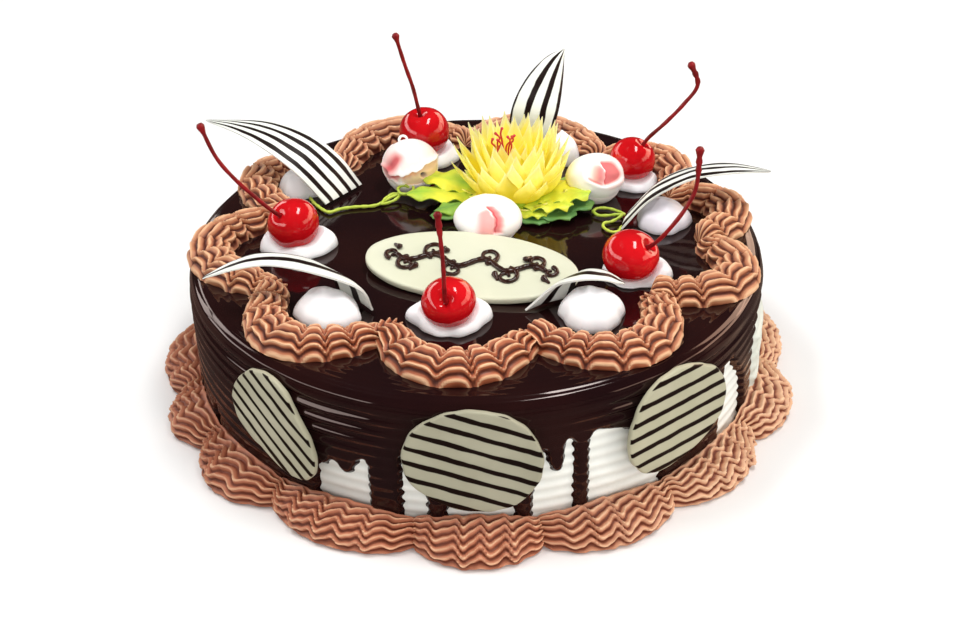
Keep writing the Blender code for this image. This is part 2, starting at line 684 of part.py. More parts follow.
def make_plaque():
    n = 26
    c, s = math.cos(math.radians(PLAQUE_TURN)), math.sin(math.radians(PLAQUE_TURN))
    tc, ts = math.cos(math.radians(PLAQUE_TILT)), math.sin(math.radians(PLAQUE_TILT))
    verts, faces = [], []
    for inset, h in ((0.0, 0.0), (0.0, PLAQUE_T - 0.6), (0.7, PLAQUE_T)):
        for i in range(n):
            t = TAU * i / n
            u, v = (PLAQUE_A - inset) * math.cos(t), (PLAQUE_B - inset) * math.sin(t)
            v2 = (v + PLAQUE_B) * tc - h * ts - PLAQUE_B
            z = Z0 + (v + PLAQUE_B) * ts + h * tc
            verts.append((PLAQUE[0] + u * c - v2 * s, PLAQUE[1] + u * s + v2 * c, z))
    faces.append(tuple(range(n)))
    for k in range(2):
        band(faces, k * n, (k + 1) * n, n)
    faces.append(tuple(range(2 * n, 3 * n)))
    return add("plaque", verts, faces, PLATE, 30.0)


# ---- build -----------------------------------------------------------------
make_body()
make_glaze()
make_top_border()
make_base_border()
for i, (phi, zc, w, h) in enumerate(DISCS):
    make_disc(i + 1, phi, zc, w, h)

AIMS = [(-0.10, -0.80, 0.62), (-0.50, -0.52, 0.70), (0.72, -0.28, 0.66), (0.55, 0.02, 0.85), (-0.18, -0.10, 0.97)]
for i, (dx, dy, dr, dh, x, y, r, rz, under) in enumerate(CHERRIES):
    make_dollop(i + 1, dx, dy, dr, dh, (0, 0), (x, y, r, rz, under))
    foot, axis = make_cherry(i + 1, x, y, r, rz, under, AIMS[i])
    make_stem(i + 1, STEMS[i], foot, axis)
LEANS = [(1.2, 2.6), (-1.0, 2.8), (-0.8, 1.8), (0.6, 1.5), (-0.6, 1.2)]
for i, (x, y, r, h) in enumerate(PLAIN):
    make_dollop(i + 6, x, y, r, h, LEANS[i])
for i, (ea, eb) in enumerate(CURLS):
    make_curl(i + 1, ea, eb)
for i, (x, y, r, h) in enumerate(ROSES):
    make_rose(i + 1, x, y, r, h, ((-1.5, 0.5), (0.0, 0.0), (1.0, -0.8))[i])
make_leaves()
make_flower()
make_plaque()
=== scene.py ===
"""Birthday cake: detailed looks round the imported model. Lengths in the tables below are millimetres."""

import math  # noqa: E402

import bmesh  # noqa: E402
import bpy  # noqa: E402
import numpy as np  # noqa: E402
from mathutils import Matrix, Vector  # noqa: E402


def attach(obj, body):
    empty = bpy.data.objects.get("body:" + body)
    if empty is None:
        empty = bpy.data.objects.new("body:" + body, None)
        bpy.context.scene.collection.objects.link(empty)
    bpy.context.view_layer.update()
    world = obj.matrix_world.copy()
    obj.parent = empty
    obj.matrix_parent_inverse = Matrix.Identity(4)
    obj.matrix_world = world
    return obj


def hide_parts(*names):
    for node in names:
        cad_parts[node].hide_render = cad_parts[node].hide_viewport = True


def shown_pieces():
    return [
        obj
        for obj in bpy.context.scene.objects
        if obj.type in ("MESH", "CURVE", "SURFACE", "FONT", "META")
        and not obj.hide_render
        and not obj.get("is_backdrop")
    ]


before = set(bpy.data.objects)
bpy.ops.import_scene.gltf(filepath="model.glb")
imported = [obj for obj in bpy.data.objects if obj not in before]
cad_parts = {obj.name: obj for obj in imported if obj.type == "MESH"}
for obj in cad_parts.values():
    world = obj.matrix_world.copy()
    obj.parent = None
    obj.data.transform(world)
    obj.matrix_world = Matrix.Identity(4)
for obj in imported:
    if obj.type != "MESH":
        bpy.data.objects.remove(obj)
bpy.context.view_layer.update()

MM = 0.001
TAU = 2.0 * math.pi
PI = math.pi

# ---- sizes shared with the solids ------------------------------------------
CAKE_R, CAKE_TOP, SHOULDER = 100.0, 53.0, 5.5
Z0 = 53.3
TOP_CUSPS = [205.6, 243.9, 285.4, 326.0, 356.5, 382.0, 411.0, 452.6, 493.0, 525.0]
TOP_CUSP_R = [73.5, 65.0, 64.0, 69.5, 78.0, 76.5, 73.0, 73.0, 72.0, 67.0]
TOP_TIPS = [89.7, 83.4, 88.9, 92.7, 91.8, 89.0, 86.4, 87.5, 91.5, 92.5]
BASE_CUSPS = [190.5, 207.8, 230.0, 258.5, 281.0, 307.0, 332.2, 355.0]
# upper edge of the bare cream below the glaze: degrees from the front, height
CREAM_EDGE = [(-75.0, 3), (-74.8, 15), (-73.5, 17), (-72.2, 14), (-72.0, 3),
              (-65.0, 3), (-64.8, 14), (-63.4, 16), (-62.2, 14), (-62.0, 3),
              (-31.8, 3), (-31.6, 21), (-31.0, 23.6), (-30.4, 21.2), (-29.6, 21.4), (-28.4, 24.2), (-27.2, 23.8),
              (-26.4, 21.8), (-25.4, 20.0), (-24.3, 21.0), (-23.2, 24.8), (-22.4, 27.0), (-21.4, 28.0), (-20.7, 25.5), (-20.4, 3),
              (-14.5, 3), (-14.4, 31), (-13.6, 33.5), (-12.0, 33), (-9.6, 24), (-9.2, 3),
              (-6.3, 3), (-6.0, 13), (-4.0, 17), (0.0, 18), (4.0, 17.5), (6.6, 15), (6.9, 3),
              (9.4, 3), (9.7, 16), (10.6, 27), (11.5, 33.6), (12.2, 34.2), (12.7, 30.5), (13.1, 27.5), (13.7, 25.0),
              (14.5, 24.2), (15.2, 25.0), (15.6, 28), (15.75, 34.4), (16.3, 36.4), (17.2, 36.4), (17.8, 34.5), (17.95, 3),
              (20.4, 3), (20.5, 34.5), (21.2, 36.8), (22.2, 37.4), (24.1, 36.6), (27.4, 35.2), (30.0, 33), (33.0, 27), (36.4, 20), (36.8, 3),
              (53.6, 3), (53.9, 33), (55.2, 37.4), (57.2, 38.4), (58.8, 35), (60.6, 31), (62.6, 27.5), (64.2, 23), (65.4, 15), (65.8, 3),
              (71.0, 3), (71.4, 30), (74.0, 39), (80.0, 42.5), (88.0, 42.5), (93.0, 37), (95.0, 3)]
CHERRIES = [(-8.9, -47.6, 13.4, 3.8, -8.9, -53.6, 9.0, 7.2, 1.0),
            (-62.2, 0.4, 13.0, 3.8, -63.1, -2.0, 9.0, 8.0, 1.0),
            (53.2, -21.6, 12.8, 3.2, 52.0, -27.0, 9.7, 7.6, 1.0),
            (57.4, 41.2, 12.2, 3.8, 58.3, 42.2, 8.4, 7.0, 2.4),
            (-19.8, 62.8, 12.0, 4.0, -18.9, 65.4, 9.7, 8.0, 2.4)]
AIMS = [(-0.10, -0.80, 0.62), (-0.50, -0.52, 0.70), (0.72, -0.28, 0.66),
        (0.55, 0.02, 0.85), (-0.18, -0.10, 0.97)]
CHERRY_TALL, CHERRY_LOW = 1.13, 1.0
STEMS = [
    [(-10.2, -63.0, 82.0), (-11.5, -61.0, 98.5)],
    [(-73.6, -8.0, 75.0), (-81.0, -6.0, 81.8), (-87.0, -5.0, 90.0), (-91.6, -4.0, 102.0)],
    [(64.2, -32.5, 75.6), (68.8, -32.0, 82.5), (72.0, -31.0, 90.0), (72.5, -31.0, 104.0)],
    [(69.5, 40.4, 77.8), (76.0, 41.0, 85.0), (80.5, 41.0, 92.5), (77.5, 41.0, 101.0)],
    [(-22.6, 65.0, 82.0), (-25.4, 64.6, 92.0), (-28.4, 64.0, 104.0)]]
PLAIN = [(-47.9, -47.0, 11.4, 8.8, -2.4, 2.6), (37.5, -51.2, 10.6, 10.2, -1.0, 2.8),
         (66.7, 10.8, 9.7, 9.0, -0.8, 1.8), (-64.2, 40.4, 9.7, 9.6, 0.6, 1.5),
         (33.8, 60.6, 7.2, 11.5, -0.6, 1.2)]
ROSES = [(-22.4, 41.6, 12.4, 18.0), (4.2, 3.6, 12.0, 15.0), (45.0, 29.4, 10.4, 16.6)]
FLOWER, FLOWER_Z, FLOWER_R, FLOWER_H = (14.4, 29.2), 57.6, 29.5, 22.0
PLAQUE, PLAQUE_A, PLAQUE_B, PLAQUE_T = (-1.6, -23.8), 37.0, 17.6, 2.4
PLAQUE_TURN, PLAQUE_TILT = -14.5, 8.0
CURLS = [
    ([(-54.2, 26.0, 54.2), (-63.5, 29.5, 64.0), (-73.5, 34.0, 71.0), (-85.5, 42.0, 75.0), (-99.0, 50.0, 77.0)],
     [(-42.0, 41.0, 54.2), (-49.5, 42.5, 65.0), (-59.5, 46.0, 72.0), (-75.0, 49.0, 76.5), (-99.0, 50.0, 77.0)]),
    ([(13.5, 66.0, 54.2), (14.0, 66.5, 70.5), (19.5, 74.0, 80.0), (27.5, 82.0, 85.5), (35.0, 88.0, 86.5)],
     [(27.3, 67.5, 54.2), (31.5, 68.0, 67.5), (33.5, 75.0, 74.5), (34.5, 82.0, 81.0), (35.0, 88.0, 86.5)]),
    ([(51.5, 4.5, 54.2), (61.5, 8.0, 63.5), (75.5, 9.5, 70.5), (89.5, 11.0, 72.0), (104.5, 12.0, 72.0)],
     [(57.0, 14.5, 57.0), (66.5, 19.5, 65.2), (77.8, 23.5, 68.2), (91.0, 20.5, 71.2), (104.5, 12.0, 72.0)]),
    ([(-34.0, -46.5, 54.2), (-37.6, -48.4, 63.4), (-52.0, -48.0, 69.4), (-66.5, -46.5, 71.8), (-78.0, -45.5, 69.8), (-89.5, -43.0, 65.0)],
     [(-46.0, -35.5, 54.2), (-48.5, -34.5, 61.5), (-57.0, -36.0, 68.5), (-69.5, -38.5, 71.8), (-79.0, -40.5, 70.1), (-89.5, -43.0, 65.0)]),
    ([(16.0, -48.0, 54.2), (25.0, -48.6, 63.2), (33.0, -51.0, 67.0), (40.5, -50.5, 66.8), (45.5, -47.8, 63.8), (48.5, -44.0, 61.0)],
     [(32.0, -40.0, 54.2), (33.0, -39.5, 60.5), (36.5, -41.0, 65.0), (41.5, -41.5, 65.0), (45.5, -42.0, 63.0), (48.5, -44.0, 61.0)])]
DISCS = [(-41.5, 29.3, 41.0, 35.2), (-1.5, 31.6, 45.0, 40.5), (39.3, 30.4, 45.0, 36.6)]


# ---- mesh helpers ----------------------------------------------------------
def lerp(a, b, t):
    return a + (b - a) * t


def smooth(x):
    x = np.clip(x, 0.0, 1.0)
    return x * x * (3.0 - 2.0 * x)


def wob(x, y, z=0.0, seed=0, scale=1.0, octaves=7):
    """Smooth repeatable unevenness, roughly -1..1, scale in cycles per unit."""
    r = np.random.RandomState(seed)
    out = 0.0
    for k in range(octaves):
        d = r.normal(size=3)
        d /= np.linalg.norm(d)
        f = TAU * scale * (0.6 + 0.22 * k)
        out = out + np.sin((x * d[0] + y * d[1] + z * d[2]) * f + r.uniform(0, TAU)) / (1.0 + 0.15 * k)
    return out / 3.2


class Shape:
    """Vertices, faces and per-vertex numbers of one piece, in millimetres."""

    def __init__(self):
        self.v, self.f, self.n, self.att = [], [], 0, {}

    def add(self, verts, faces, **att):
        verts = np.asarray(verts, float).reshape(-1, 3)
        m = len(verts)
        for key in set(self.att) | set(att):
            rows = self.att.setdefault(key, [np.zeros(k.shape[0]) for k in self.v])
            val = att.get(key, 0.0)
            rows.append(np.broadcast_to(np.asarray(val, float).reshape(-1), (m,)).copy()
                        if np.size(val) == 1 else np.asarray(val, float).reshape(m))
        self.v.append(verts)
        self.f += [tuple(int(i) + self.n for i in q) for q in faces]
        self.n += m

    def make(self, name, material, node=(), sharp=60.0):
        me = bpy.data.meshes.new(name)
        me.from_pydata((np.concatenate(self.v) * MM).tolist(), [], self.f)
        for key, rows in self.att.items():
            a = me.attributes.new(key, "FLOAT", "POINT")
            a.data.foreach_set("value", np.concatenate(rows).astype(np.float32))
        bm = bmesh.new()
        bm.from_mesh(me)
        bmesh.ops.recalc_face_normals(bm, faces=bm.faces)
        bm.to_mesh(me)
        bm.free()
        me.shade_smooth()
        me.set_sharp_from_angle(angle=math.radians(sharp))
        for m in material if isinstance(material, (list, tuple)) else [material]:
            me.materials.append(m)
        ob = bpy.data.objects.new(name, me)
        bpy.context.scene.collection.objects.link(ob)
        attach(ob, "root")
        if node:
            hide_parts(*([node] if isinstance(node, str) else node))
        return ob


def quads(m, n, wrap_m=False, wrap_n=False):
    """Faces of an m by n grid of vertices."""
    i = np.arange(m if wrap_m else m - 1)
    j = np.arange(n if wrap_n else n - 1)
    a, b = np.meshgrid(i, j, indexing="ij")
    a2, b2 = (a + 1) % m, (b + 1) % n
    return np.stack([a * n + b, a2 * n + b, a2 * n + b2, a * n + b2], -1).reshape(-1, 4).tolist()


def tube(P):
    """A closed tube from rings P (m, n, 3), with a fan at each end."""
    m, n = P.shape[:2]
    faces = quads(m, n, False, True)
    verts = np.concatenate([P.reshape(-1, 3), P[0].mean(0)[None], P[-1].mean(0)[None]])
    a, b = m * n, m * n + 1
    for j in range(n):
        k = (j + 1) % n
        faces.append((a, k, j))
        faces.append((b, (m - 1) * n + j, (m - 1) * n + k))
    return verts, faces


def pipe(points, radius, n=10):
    """Rings of a round tube along points (m, 3), radius a number or one per point."""
    p = np.asarray(points, float)
    m = len(p)
    t = np.gradient(p, axis=0)
    t /= np.linalg.norm(t, axis=1)[:, None] + 1e-12
    side = np.cross(t[0], (0.0, 0.0, 1.0))
    if np.linalg.norm(side) < 0.1:
        side = np.array((1.0, 0.0, 0.0))
    rings = []
    rad = np.broadcast_to(radius, (m,))
    a = np.arange(n) * TAU / n
    for k in range(m):
        side = side - t[k] * side.dot(t[k])
        side /= np.linalg.norm(side)
        up = np.cross(t[k], side)
        rings.append(p[k] + rad[k] * (np.cos(a)[:, None] * side + np.sin(a)[:, None] * up))
    return np.array(rings)


def catmull(points, t):
    """Points on a smooth curve through the given points, for an array t in 0..1."""
    p = np.asarray(points, float)
    n = len(p) - 1
    ext = np.concatenate([[2 * p[0] - p[1]], p, [2 * p[-1] - p[-2]]])
    x = np.clip(t, 0, 1) * n
    i = np.minimum(x.astype(int), n - 1)
    u = (x - i)[:, None]
    a, b, c, d = ext[i], ext[i + 1], ext[i + 2], ext[i + 3]
    return 0.5 * (2 * b + (c - a) * u + (2 * a - 5 * b + 4 * c - d) * u ** 2 + (d - a + 3 * b - 3 * c) * u ** 3)


def even(points, step):
    """The same line with its points a given length apart."""
    p = np.asarray(points, float)
    s = np.concatenate([[0], np.cumsum(np.linalg.norm(np.diff(p, axis=0), axis=1))])
    n = max(int(round(s[-1] / step)), 3)
    q = np.linspace(0, s[-1], n + 1)
    return np.stack([np.interp(q, s, p[:, k]) for k in range(p.shape[1])], 1), q


def slab(P, thick, edge=0.35):
    """A closed thin sheet round the middle surface P (m, n, 3), thinner at its rim."""
    m, n = P.shape[:2]
    du, dv = np.gradient(P, axis=0), np.gradient(P, axis=1)
    N = np.cross(du, dv)
    N /= np.linalg.norm(N, axis=2)[:, :, None] + 1e-9
    t = np.broadcast_to(thick, (m, n)).astype(float).copy()
    i = np.minimum(np.arange(m), np.arange(m)[::-1])
    j = np.minimum(np.arange(n), np.arange(n)[::-1])
    rim = np.minimum(i[:, None], j[None, :])
    t *= np.where(rim == 0, edge, np.where(rim == 1, 0.5 + 0.5 * edge + 0.15, 1.0))
    top = (P + N * t[:, :, None] * 0.5).reshape(-1, 3)
    bot = (P - N * t[:, :, None] * 0.5).reshape(-1, 3)
    q = np.array(quads(m, n))
    faces = q.tolist() + (q[:, ::-1] + m * n).tolist()
    loop = ([(0, k) for k in range(n)] + [(k, n - 1) for k in range(1, m)]
            + [(m - 1, k) for k in range(n - 2, -1, -1)] + [(k, 0) for k in range(m - 2, 0, -1)])
    ids = [a * n + b for a, b in loop]
    for k in range(len(ids)):
        a, b = ids[k], ids[(k + 1) % len(ids)]
        faces.append((b, a, a + m * n, b + m * n))
    return np.concatenate([top, bot]), faces


def polar_xy(r, deg):
    a = np.radians(deg)
    return r * np.cos(a), r * np.sin(a)


# ---- materials -------------------------------------------------------------
class Mat:
    """A small helper for building one Principled material."""

    def __init__(self, name):
        self.m = bpy.data.materials.new(name)
        self.m.use_nodes = True
        self.t = self.m.node_tree
        self.b = self.t.nodes["Principled BSDF"]
        self.geo = None

    def node(self, kind, **kw):
        n = self.t.nodes.new(kind)
        for k, v in kw.items():
            setattr(n, k, v)
        return n

    def link(self, a, b):
        self.t.links.new(a, b)

    def set(self, **kw):
        for k, v in kw.items():
            self.b.inputs[k.replace("_", " ")].default_value = v

    def coords(self):
        if self.geo is None:
            self.geo = self.node("ShaderNodeTexCoord").outputs["Object"]
        return self.geo

    def noise(self, scale, detail=3.0, rough=0.55, distort=0.0):
        n = self.node("ShaderNodeTexNoise")
        n.inputs["Scale"].default_value = scale
        n.inputs["Detail"].default_value = detail
        n.inputs["Roughness"].default_value = rough
        n.inputs["Distortion"].default_value = distort
        self.link(self.coords(), n.inputs["Vector"])
        return n.outputs["Fac"]

    def attr(self, name):
        n = self.node("ShaderNodeAttribute", attribute_name=name)
        return n.outputs["Fac"]

    def math(self, op, a, b=0.0, c=None):
        n = self.node("ShaderNodeMath", operation=op)
        for k, x in enumerate((a, b, c)):
            if x is None:
                continue
            if isinstance(x, (int, float)):
                n.inputs[k].default_value = x
            else:
                self.link(x, n.inputs[k])
        return n.outputs[0]

    def range(self, x, a, b, lo=0.0, hi=1.0):
        n = self.node("ShaderNodeMapRange", clamp=True)
        self.link(x, n.inputs["Value"])
        for key, v in (("From Min", a), ("From Max", b), ("To Min", lo), ("To Max", hi)):
            n.inputs[key].default_value = v
        return n.outputs["Result"]

    def mix(self, fac, a, b):
        n = self.node("ShaderNodeMix", data_type="RGBA")
        if isinstance(fac, (int, float)):
            n.inputs["Factor"].default_value = fac
        else:
            self.link(fac, n.inputs["Factor"])
        for k, x in ((6, a), (7, b)):
            if isinstance(x, tuple):
                n.inputs[k].default_value = (*x, 1.0)
            else:
                self.link(x, n.inputs[k])
        return n.outputs[2]

    def colour(self, x):
        if isinstance(x, tuple):
            self.b.inputs["Base Color"].default_value = (*x, 1.0)
        else:
            self.link(x, self.b.inputs["Base Color"])

    def bump(self, height, strength=0.3, distance=0.0005):
        n = self.node("ShaderNodeBump")
        n.inputs["Strength"].default_value = strength
        n.inputs["Distance"].default_value = distance
        self.link(height, n.inputs["Height"])
        self.link(n.outputs["Normal"], self.b.inputs["Normal"])

    def rough(self, x):
        self.link(x, self.b.inputs["Roughness"])


def srgb(r, g, b):
    """Linear colour from 8-bit display values."""
    def one(c):
        c /= 255.0
        return c / 12.92 if c <= 0.04045 else ((c + 0.055) / 1.055) ** 2.4
    return (one(r), one(g), one(b))


def make_materials():
    M = {}
    m = Mat("cream")
    m.set(Roughness=0.5, Specular_IOR_Level=0.35)
    col = m.mix(m.range(m.noise(90, 4), 0.35, 0.7), srgb(251, 252, 246), srgb(244, 245, 238))
    # painted shade: the cream is greyed in the comb grooves, by each point's groove value
    col = m.mix(m.math("MULTIPLY", m.attr("groove"), 0.42), col, srgb(200, 201, 192))
    xyz = m.node("ShaderNodeSeparateXYZ")
    m.link(m.coords(), xyz.inputs[0])
    # painted shade: the cream is darker on the strip far round to the right
    col = m.mix(m.range(xyz.outputs["X"], 0.0885, 0.0945, 0.0, 0.55), col, srgb(184, 190, 174))
    # painted shade: the cream is darker towards the left
    m.colour(m.mix(m.range(xyz.outputs["X"], -0.018, -0.055, 0.0, 0.45), col, srgb(172, 163, 152)))
    m.bump(m.noise(420, 3), 0.25, 0.0004)
    M["cream"] = m.m

    m = Mat("dark_glaze_gloss")
    m.set(Roughness=0.08, Specular_IOR_Level=0.5)
    m.b.inputs["Specular Tint"].default_value = (1.0, 0.86, 0.82, 1.0)
    m.colour(m.mix(m.range(m.noise(24, 2), 0.4, 0.7), srgb(26, 10, 12), srgb(36, 15, 14)))
    m.rough(m.range(m.noise(60, 3), 0.3, 0.75, 0.05, 0.11))
    m.bump(m.noise(160, 2), 0.08, 0.0004)
    M["glaze"] = m.m

    for key, crest, mid, deep in (("piping", (238, 190, 148), (172, 96, 64), (74, 23, 9)),
                                  ("piping_base", (238, 190, 150), (194, 124, 94), (104, 44, 26))):
        m = Mat("mocha_" + key)
        m.set(Roughness=0.46, Specular_IOR_Level=0.3)
        # the crest colour is painted light on the rib tops and the deep colour painted shadow in the grooves; mid is
        # the piping's own colour
        rib = m.attr("rib")
        low = m.mix(m.range(rib, 0.0, 0.42), srgb(*deep), srgb(*mid))
        col = m.mix(m.range(rib, 0.60, 0.97), low, srgb(*crest))
        col = m.mix(m.range(m.noise(140, 4), 0.55, 0.8, 0.0, 0.3), col, srgb(*mid))
        xyz = m.node("ShaderNodeSeparateXYZ")
        m.link(m.coords(), xyz.inputs[0])
        across = m.math("ADD", xyz.outputs["X"], m.range(m.noise(30, 2), 0.3, 0.7, -0.012, 0.012))
        if key == "piping":
            across = m.math("ABSOLUTE", across)
            raised = m.range(rib, 0.12, 0.5)
            # painted light: raised ribs paler towards the left and right
            col = m.mix(m.math("MULTIPLY", raised, m.range(across, 0.042, 0.085, 0.0, 0.32)), col, srgb(226, 178, 134))
            # painted light: raised ribs paler towards the back
            col = m.mix(m.math("MULTIPLY", raised, m.range(xyz.outputs["Y"], 0.035, 0.080, 0.0, 0.40)), col, srgb(240, 192, 152))
        else:
            raised = m.range(rib, 0.12, 0.5)
            # painted light: raised ribs paler towards the right
            col = m.mix(m.math("MULTIPLY", raised, m.range(across, 0.012, 0.090, 0.0, 0.56)), col, srgb(238, 200, 162))
            # painted shade: darker towards the left
            col = m.mix(m.range(across, -0.040, -0.095, 0.0, 0.22), col, srgb(112, 54, 36))
        m.colour(col)
        m.bump(m.noise(900, 3), 0.25, 0.0003)
        M[key] = m.m

    m = Mat("whipped")
    m.set(Roughness=0.42, Specular_IOR_Level=0.4, Subsurface_Weight=0.15, Subsurface_Scale=0.004)
    m.b.inputs["Subsurface Radius"].default_value = (1.0, 0.75, 0.8)
    # painted light: a faint white glow that lifts the shade on the cream
    m.b.inputs["Emission Color"].default_value = (1.0, 0.98, 0.95, 1.0)
    m.b.inputs["Emission Strength"].default_value = 0.07
    col = m.mix(m.range(m.noise(60, 3), 0.4, 0.75), srgb(248, 247, 247), srgb(240, 236, 241))
    # painted shade: the shade value greys the cream
    m.colour(m.mix(m.attr("shade"), col, srgb(214, 208, 217)))
    m.bump(m.noise(500, 3), 0.15, 0.0003)
    M["whipped"] = m.m

    m = Mat("cherry_red")
    m.set(Roughness=0.08, Specular_IOR_Level=0.42, Coat_Weight=0.2, Coat_Roughness=0.05)
    m.colour(m.mix(m.range(m.noise(70, 3), 0.35, 0.75), srgb(209, 20, 28), srgb(180, 10, 18)))
    m.bump(m.noise(240, 2), 0.12, 0.0004)
    M["cherry"] = m.m

    m = Mat("stem_red")
    m.set(Roughness=0.35, Specular_IOR_Level=0.25)
    m.colour(m.mix(m.range(m.noise(200, 3), 0.35, 0.7), srgb(150, 14, 22), srgb(92, 8, 12)))
    m.bump(m.noise(900, 2), 0.2, 0.0003)
    M["stem"] = m.m

    # the discs' pale colours are set far darker and greyer than the curls': painted shade on their upright faces
    for key, light, lighter, dark, width in (
            ("disc", (172, 168, 142), (186, 181, 156), (24, 9, 5), 0.165),
            ("curl", (228, 231, 222), (240, 241, 234), (26, 10, 8), 0.215)):
        m = Mat("striped_" + key)
        m.set(Roughness=0.38, Specular_IOR_Level=0.18)
        w = m.math("ADD", m.attr("stripe"), m.range(m.noise(120, 2), 0.3, 0.7, -0.03, 0.03))
        d = m.math("ABSOLUTE", m.math("SUBTRACT", w, m.math("ROUND", w)))
        half = m.range(m.noise(70, 2), 0.3, 0.7, width * 0.8, width * 1.2)
        edge = m.math("SUBTRACT", d, half)
        dark_fac = m.range(edge, -0.02, 0.02, 1.0, 0.0)
        dark_fac = m.math("MULTIPLY", dark_fac, m.range(m.attr("face"), 0.2, 0.6))
        mottle = m.range(m.noise(45, 3), 0.35, 0.7)
        base = m.mix(mottle, srgb(*light), srgb(*lighter))
        if key == "disc":
            # painted shade: a darker pale colour by the disc's shade value, full on the front disc
            base = m.mix(m.attr("shade"), base, m.mix(mottle, srgb(157, 153, 131), srgb(171, 167, 145)))
        m.colour(m.mix(dark_fac, base, srgb(*dark)))
        m.bump(m.math("SUBTRACT", m.noise(260, 3), m.math("MULTIPLY", dark_fac, 0.4)), 0.15, 0.0003)
        M[key] = m.m

    m = Mat("rose_petals")
    m.set(Roughness=0.5, Specular_IOR_Level=0.3, Subsurface_Weight=0.1, Subsurface_Scale=0.003)
    # painted light: a faint warm glow that lifts the shade on the petals
    m.b.inputs["Emission Color"].default_value = (1.0, 0.93, 0.82, 1.0)
    m.b.inputs["Emission Strength"].default_value = 0.05
    t = m.attr("tint")
    col = m.mix(m.range(t, 0.0, 0.5), srgb(252, 248, 244), srgb(242, 176, 170))
    col = m.mix(m.range(t, 0.5, 1.0), col, srgb(206, 70, 78))
    col = m.mix(m.attr("warm"), col, srgb(250, 196, 138))
    # painted shadow: the dark value paints the inside of a small hole
    m.colour(m.mix(m.attr("dark"), col, srgb(48, 22, 18)))
    m.bump(m.noise(350, 3), 0.12, 0.0003)
    M["rose"] = m.m

    m = Mat("flower_petals")
    m.set(Roughness=0.5, Specular_IOR_Level=0.3, Subsurface_Weight=0.9, Subsurface_Scale=0.012)
    m.b.inputs["Subsurface Radius"].default_value = (1.0, 0.95, 0.6)
    # painted light: a yellow glow that lifts the shade between the petals
    m.b.inputs["Emission Color"].default_value = (*srgb(255, 236, 48), 1.0)
    m.b.inputs["Emission Strength"].default_value = 0.115
    t = m.attr("tint")
    col = m.mix(m.range(t, 0.0, 0.55), srgb(247, 229, 56), srgb(249, 233, 78))
    col = m.mix(m.range(t, 0.55, 1.0), col, srgb(252, 241, 126))
    m.colour(m.mix(m.range(m.noise(120, 2), 0.5, 0.75, 0.0, 0.3), col, srgb(243, 224, 58)))
    m.bump(m.noise(300, 2), 0.1, 0.0003)
    M["petal"] = m.m

    m = Mat("leaf_icing")
    m.set(Roughness=0.45, Specular_IOR_Level=0.35)
    t = m.math("ADD", m.attr("tint"), m.range(m.noise(70, 3), 0.3, 0.7, -0.25, 0.25))
    col = m.mix(m.range(t, 0.0, 0.5), srgb(92, 140, 72), srgb(160, 198, 62))
    m.colour(m.mix(m.range(t, 0.5, 1.0), col, srgb(229, 227, 66)))
    m.bump(m.noise(300, 3), 0.2, 0.0003)
    M["leaf"] = m.m

    m = Mat("vine_icing")
    m.set(Roughness=0.35, Specular_IOR_Level=0.4)
    m.colour(m.mix(m.range(m.noise(150, 3), 0.35, 0.7), srgb(206, 220, 84), srgb(166, 192, 60)))
    m.bump(m.noise(500, 3), 0.2, 0.0003)
    M["vine"] = m.m

    m = Mat("stamen_red")
    m.set(Roughness=0.4)
    m.colour(m.mix(m.range(m.noise(300, 2), 0.35, 0.7), srgb(214, 52, 58), srgb(190, 36, 44)))
    m.bump(m.noise(900, 2), 0.2, 0.0002)
    M["stamen"] = m.m

    m = Mat("plaque_white_chocolate")
    m.set(Roughness=0.36, Specular_IOR_Level=0.4)
    m.colour(m.mix(m.range(m.noise(35, 3), 0.35, 0.7), srgb(220, 220, 197), srgb(213, 214, 187)))
    m.bump(m.noise(260, 3), 0.12, 0.0003)
    M["plaque"] = m.m

    m = Mat("scroll_chocolate")
    m.set(Roughness=0.22, Specular_IOR_Level=0.45)
    m.colour(m.mix(m.range(m.noise(200, 3), 0.35, 0.7), srgb(58, 30, 22), srgb(40, 20, 16)))
    m.bump(m.noise(700, 2), 0.15, 0.0002)
    M["scroll"] = m.m

    m = Mat("pale_floor")
    m.set(Roughness=0.7, Specular_IOR_Level=0.2)
    m.colour(m.mix(m.range(m.noise(3, 2), 0.35, 0.7), (0.86, 0.86, 0.86), (0.88, 0.88, 0.88)))
    # for rays bouncing off shiny parts the floor is dim, with painted reflections: a warm brown zone to the right of
    # the cake and a darker one to its left
    path = m.node("ShaderNodeLightPath")
    dim = m.node("ShaderNodeBsdfDiffuse")
    xyz = m.node("ShaderNodeSeparateXYZ")
    m.link(m.coords(), xyz.inputs[0])
    behind = m.range(xyz.outputs["Y"], -0.07, 0.02)
    near = m.range(xyz.outputs["Y"], -0.006, 0.016, 1.0, 0.12)
    right = m.math("MULTIPLY", m.math("MULTIPLY", m.range(xyz.outputs["X"], 0.095, 0.150), behind), near)
    left = m.math("MULTIPLY", m.range(xyz.outputs["X"], -0.110, -0.160), behind)
    shade = m.mix(right, (0.10, 0.075, 0.065), (0.56, 0.37, 0.27))
    m.link(m.mix(left, shade, (0.17, 0.105, 0.085)), dim.inputs["Color"])
    both = m.node("ShaderNodeMixShader")
    m.link(path.outputs["Is Glossy Ray"], both.inputs[0])
    m.link(m.b.outputs[0], both.inputs[1])
    m.link(dim.outputs[0], both.inputs[2])
    m.link(both.outputs[0], [k for k in m.t.nodes if k.type == "OUTPUT_MATERIAL"][0].inputs["Surface"])
    M["floor"] = m.m
    return M


MATS = make_materials()


# ---- cake side -------------------------------------------------------------
def comb(z, deg, pitch=3.7):
    """Ridges left by a comb dragged round the side: 0 in a groove, 1 on a ridge."""
    a = np.radians(deg)
    zz = z + 0.7 * np.sin(a * 1.0 + 0.6) + 0.35 * np.sin(3 * a + 1.1) + 0.12 * np.sin(17 * a)
    return 0.5 - 0.5 * np.cos(TAU * zz / pitch)


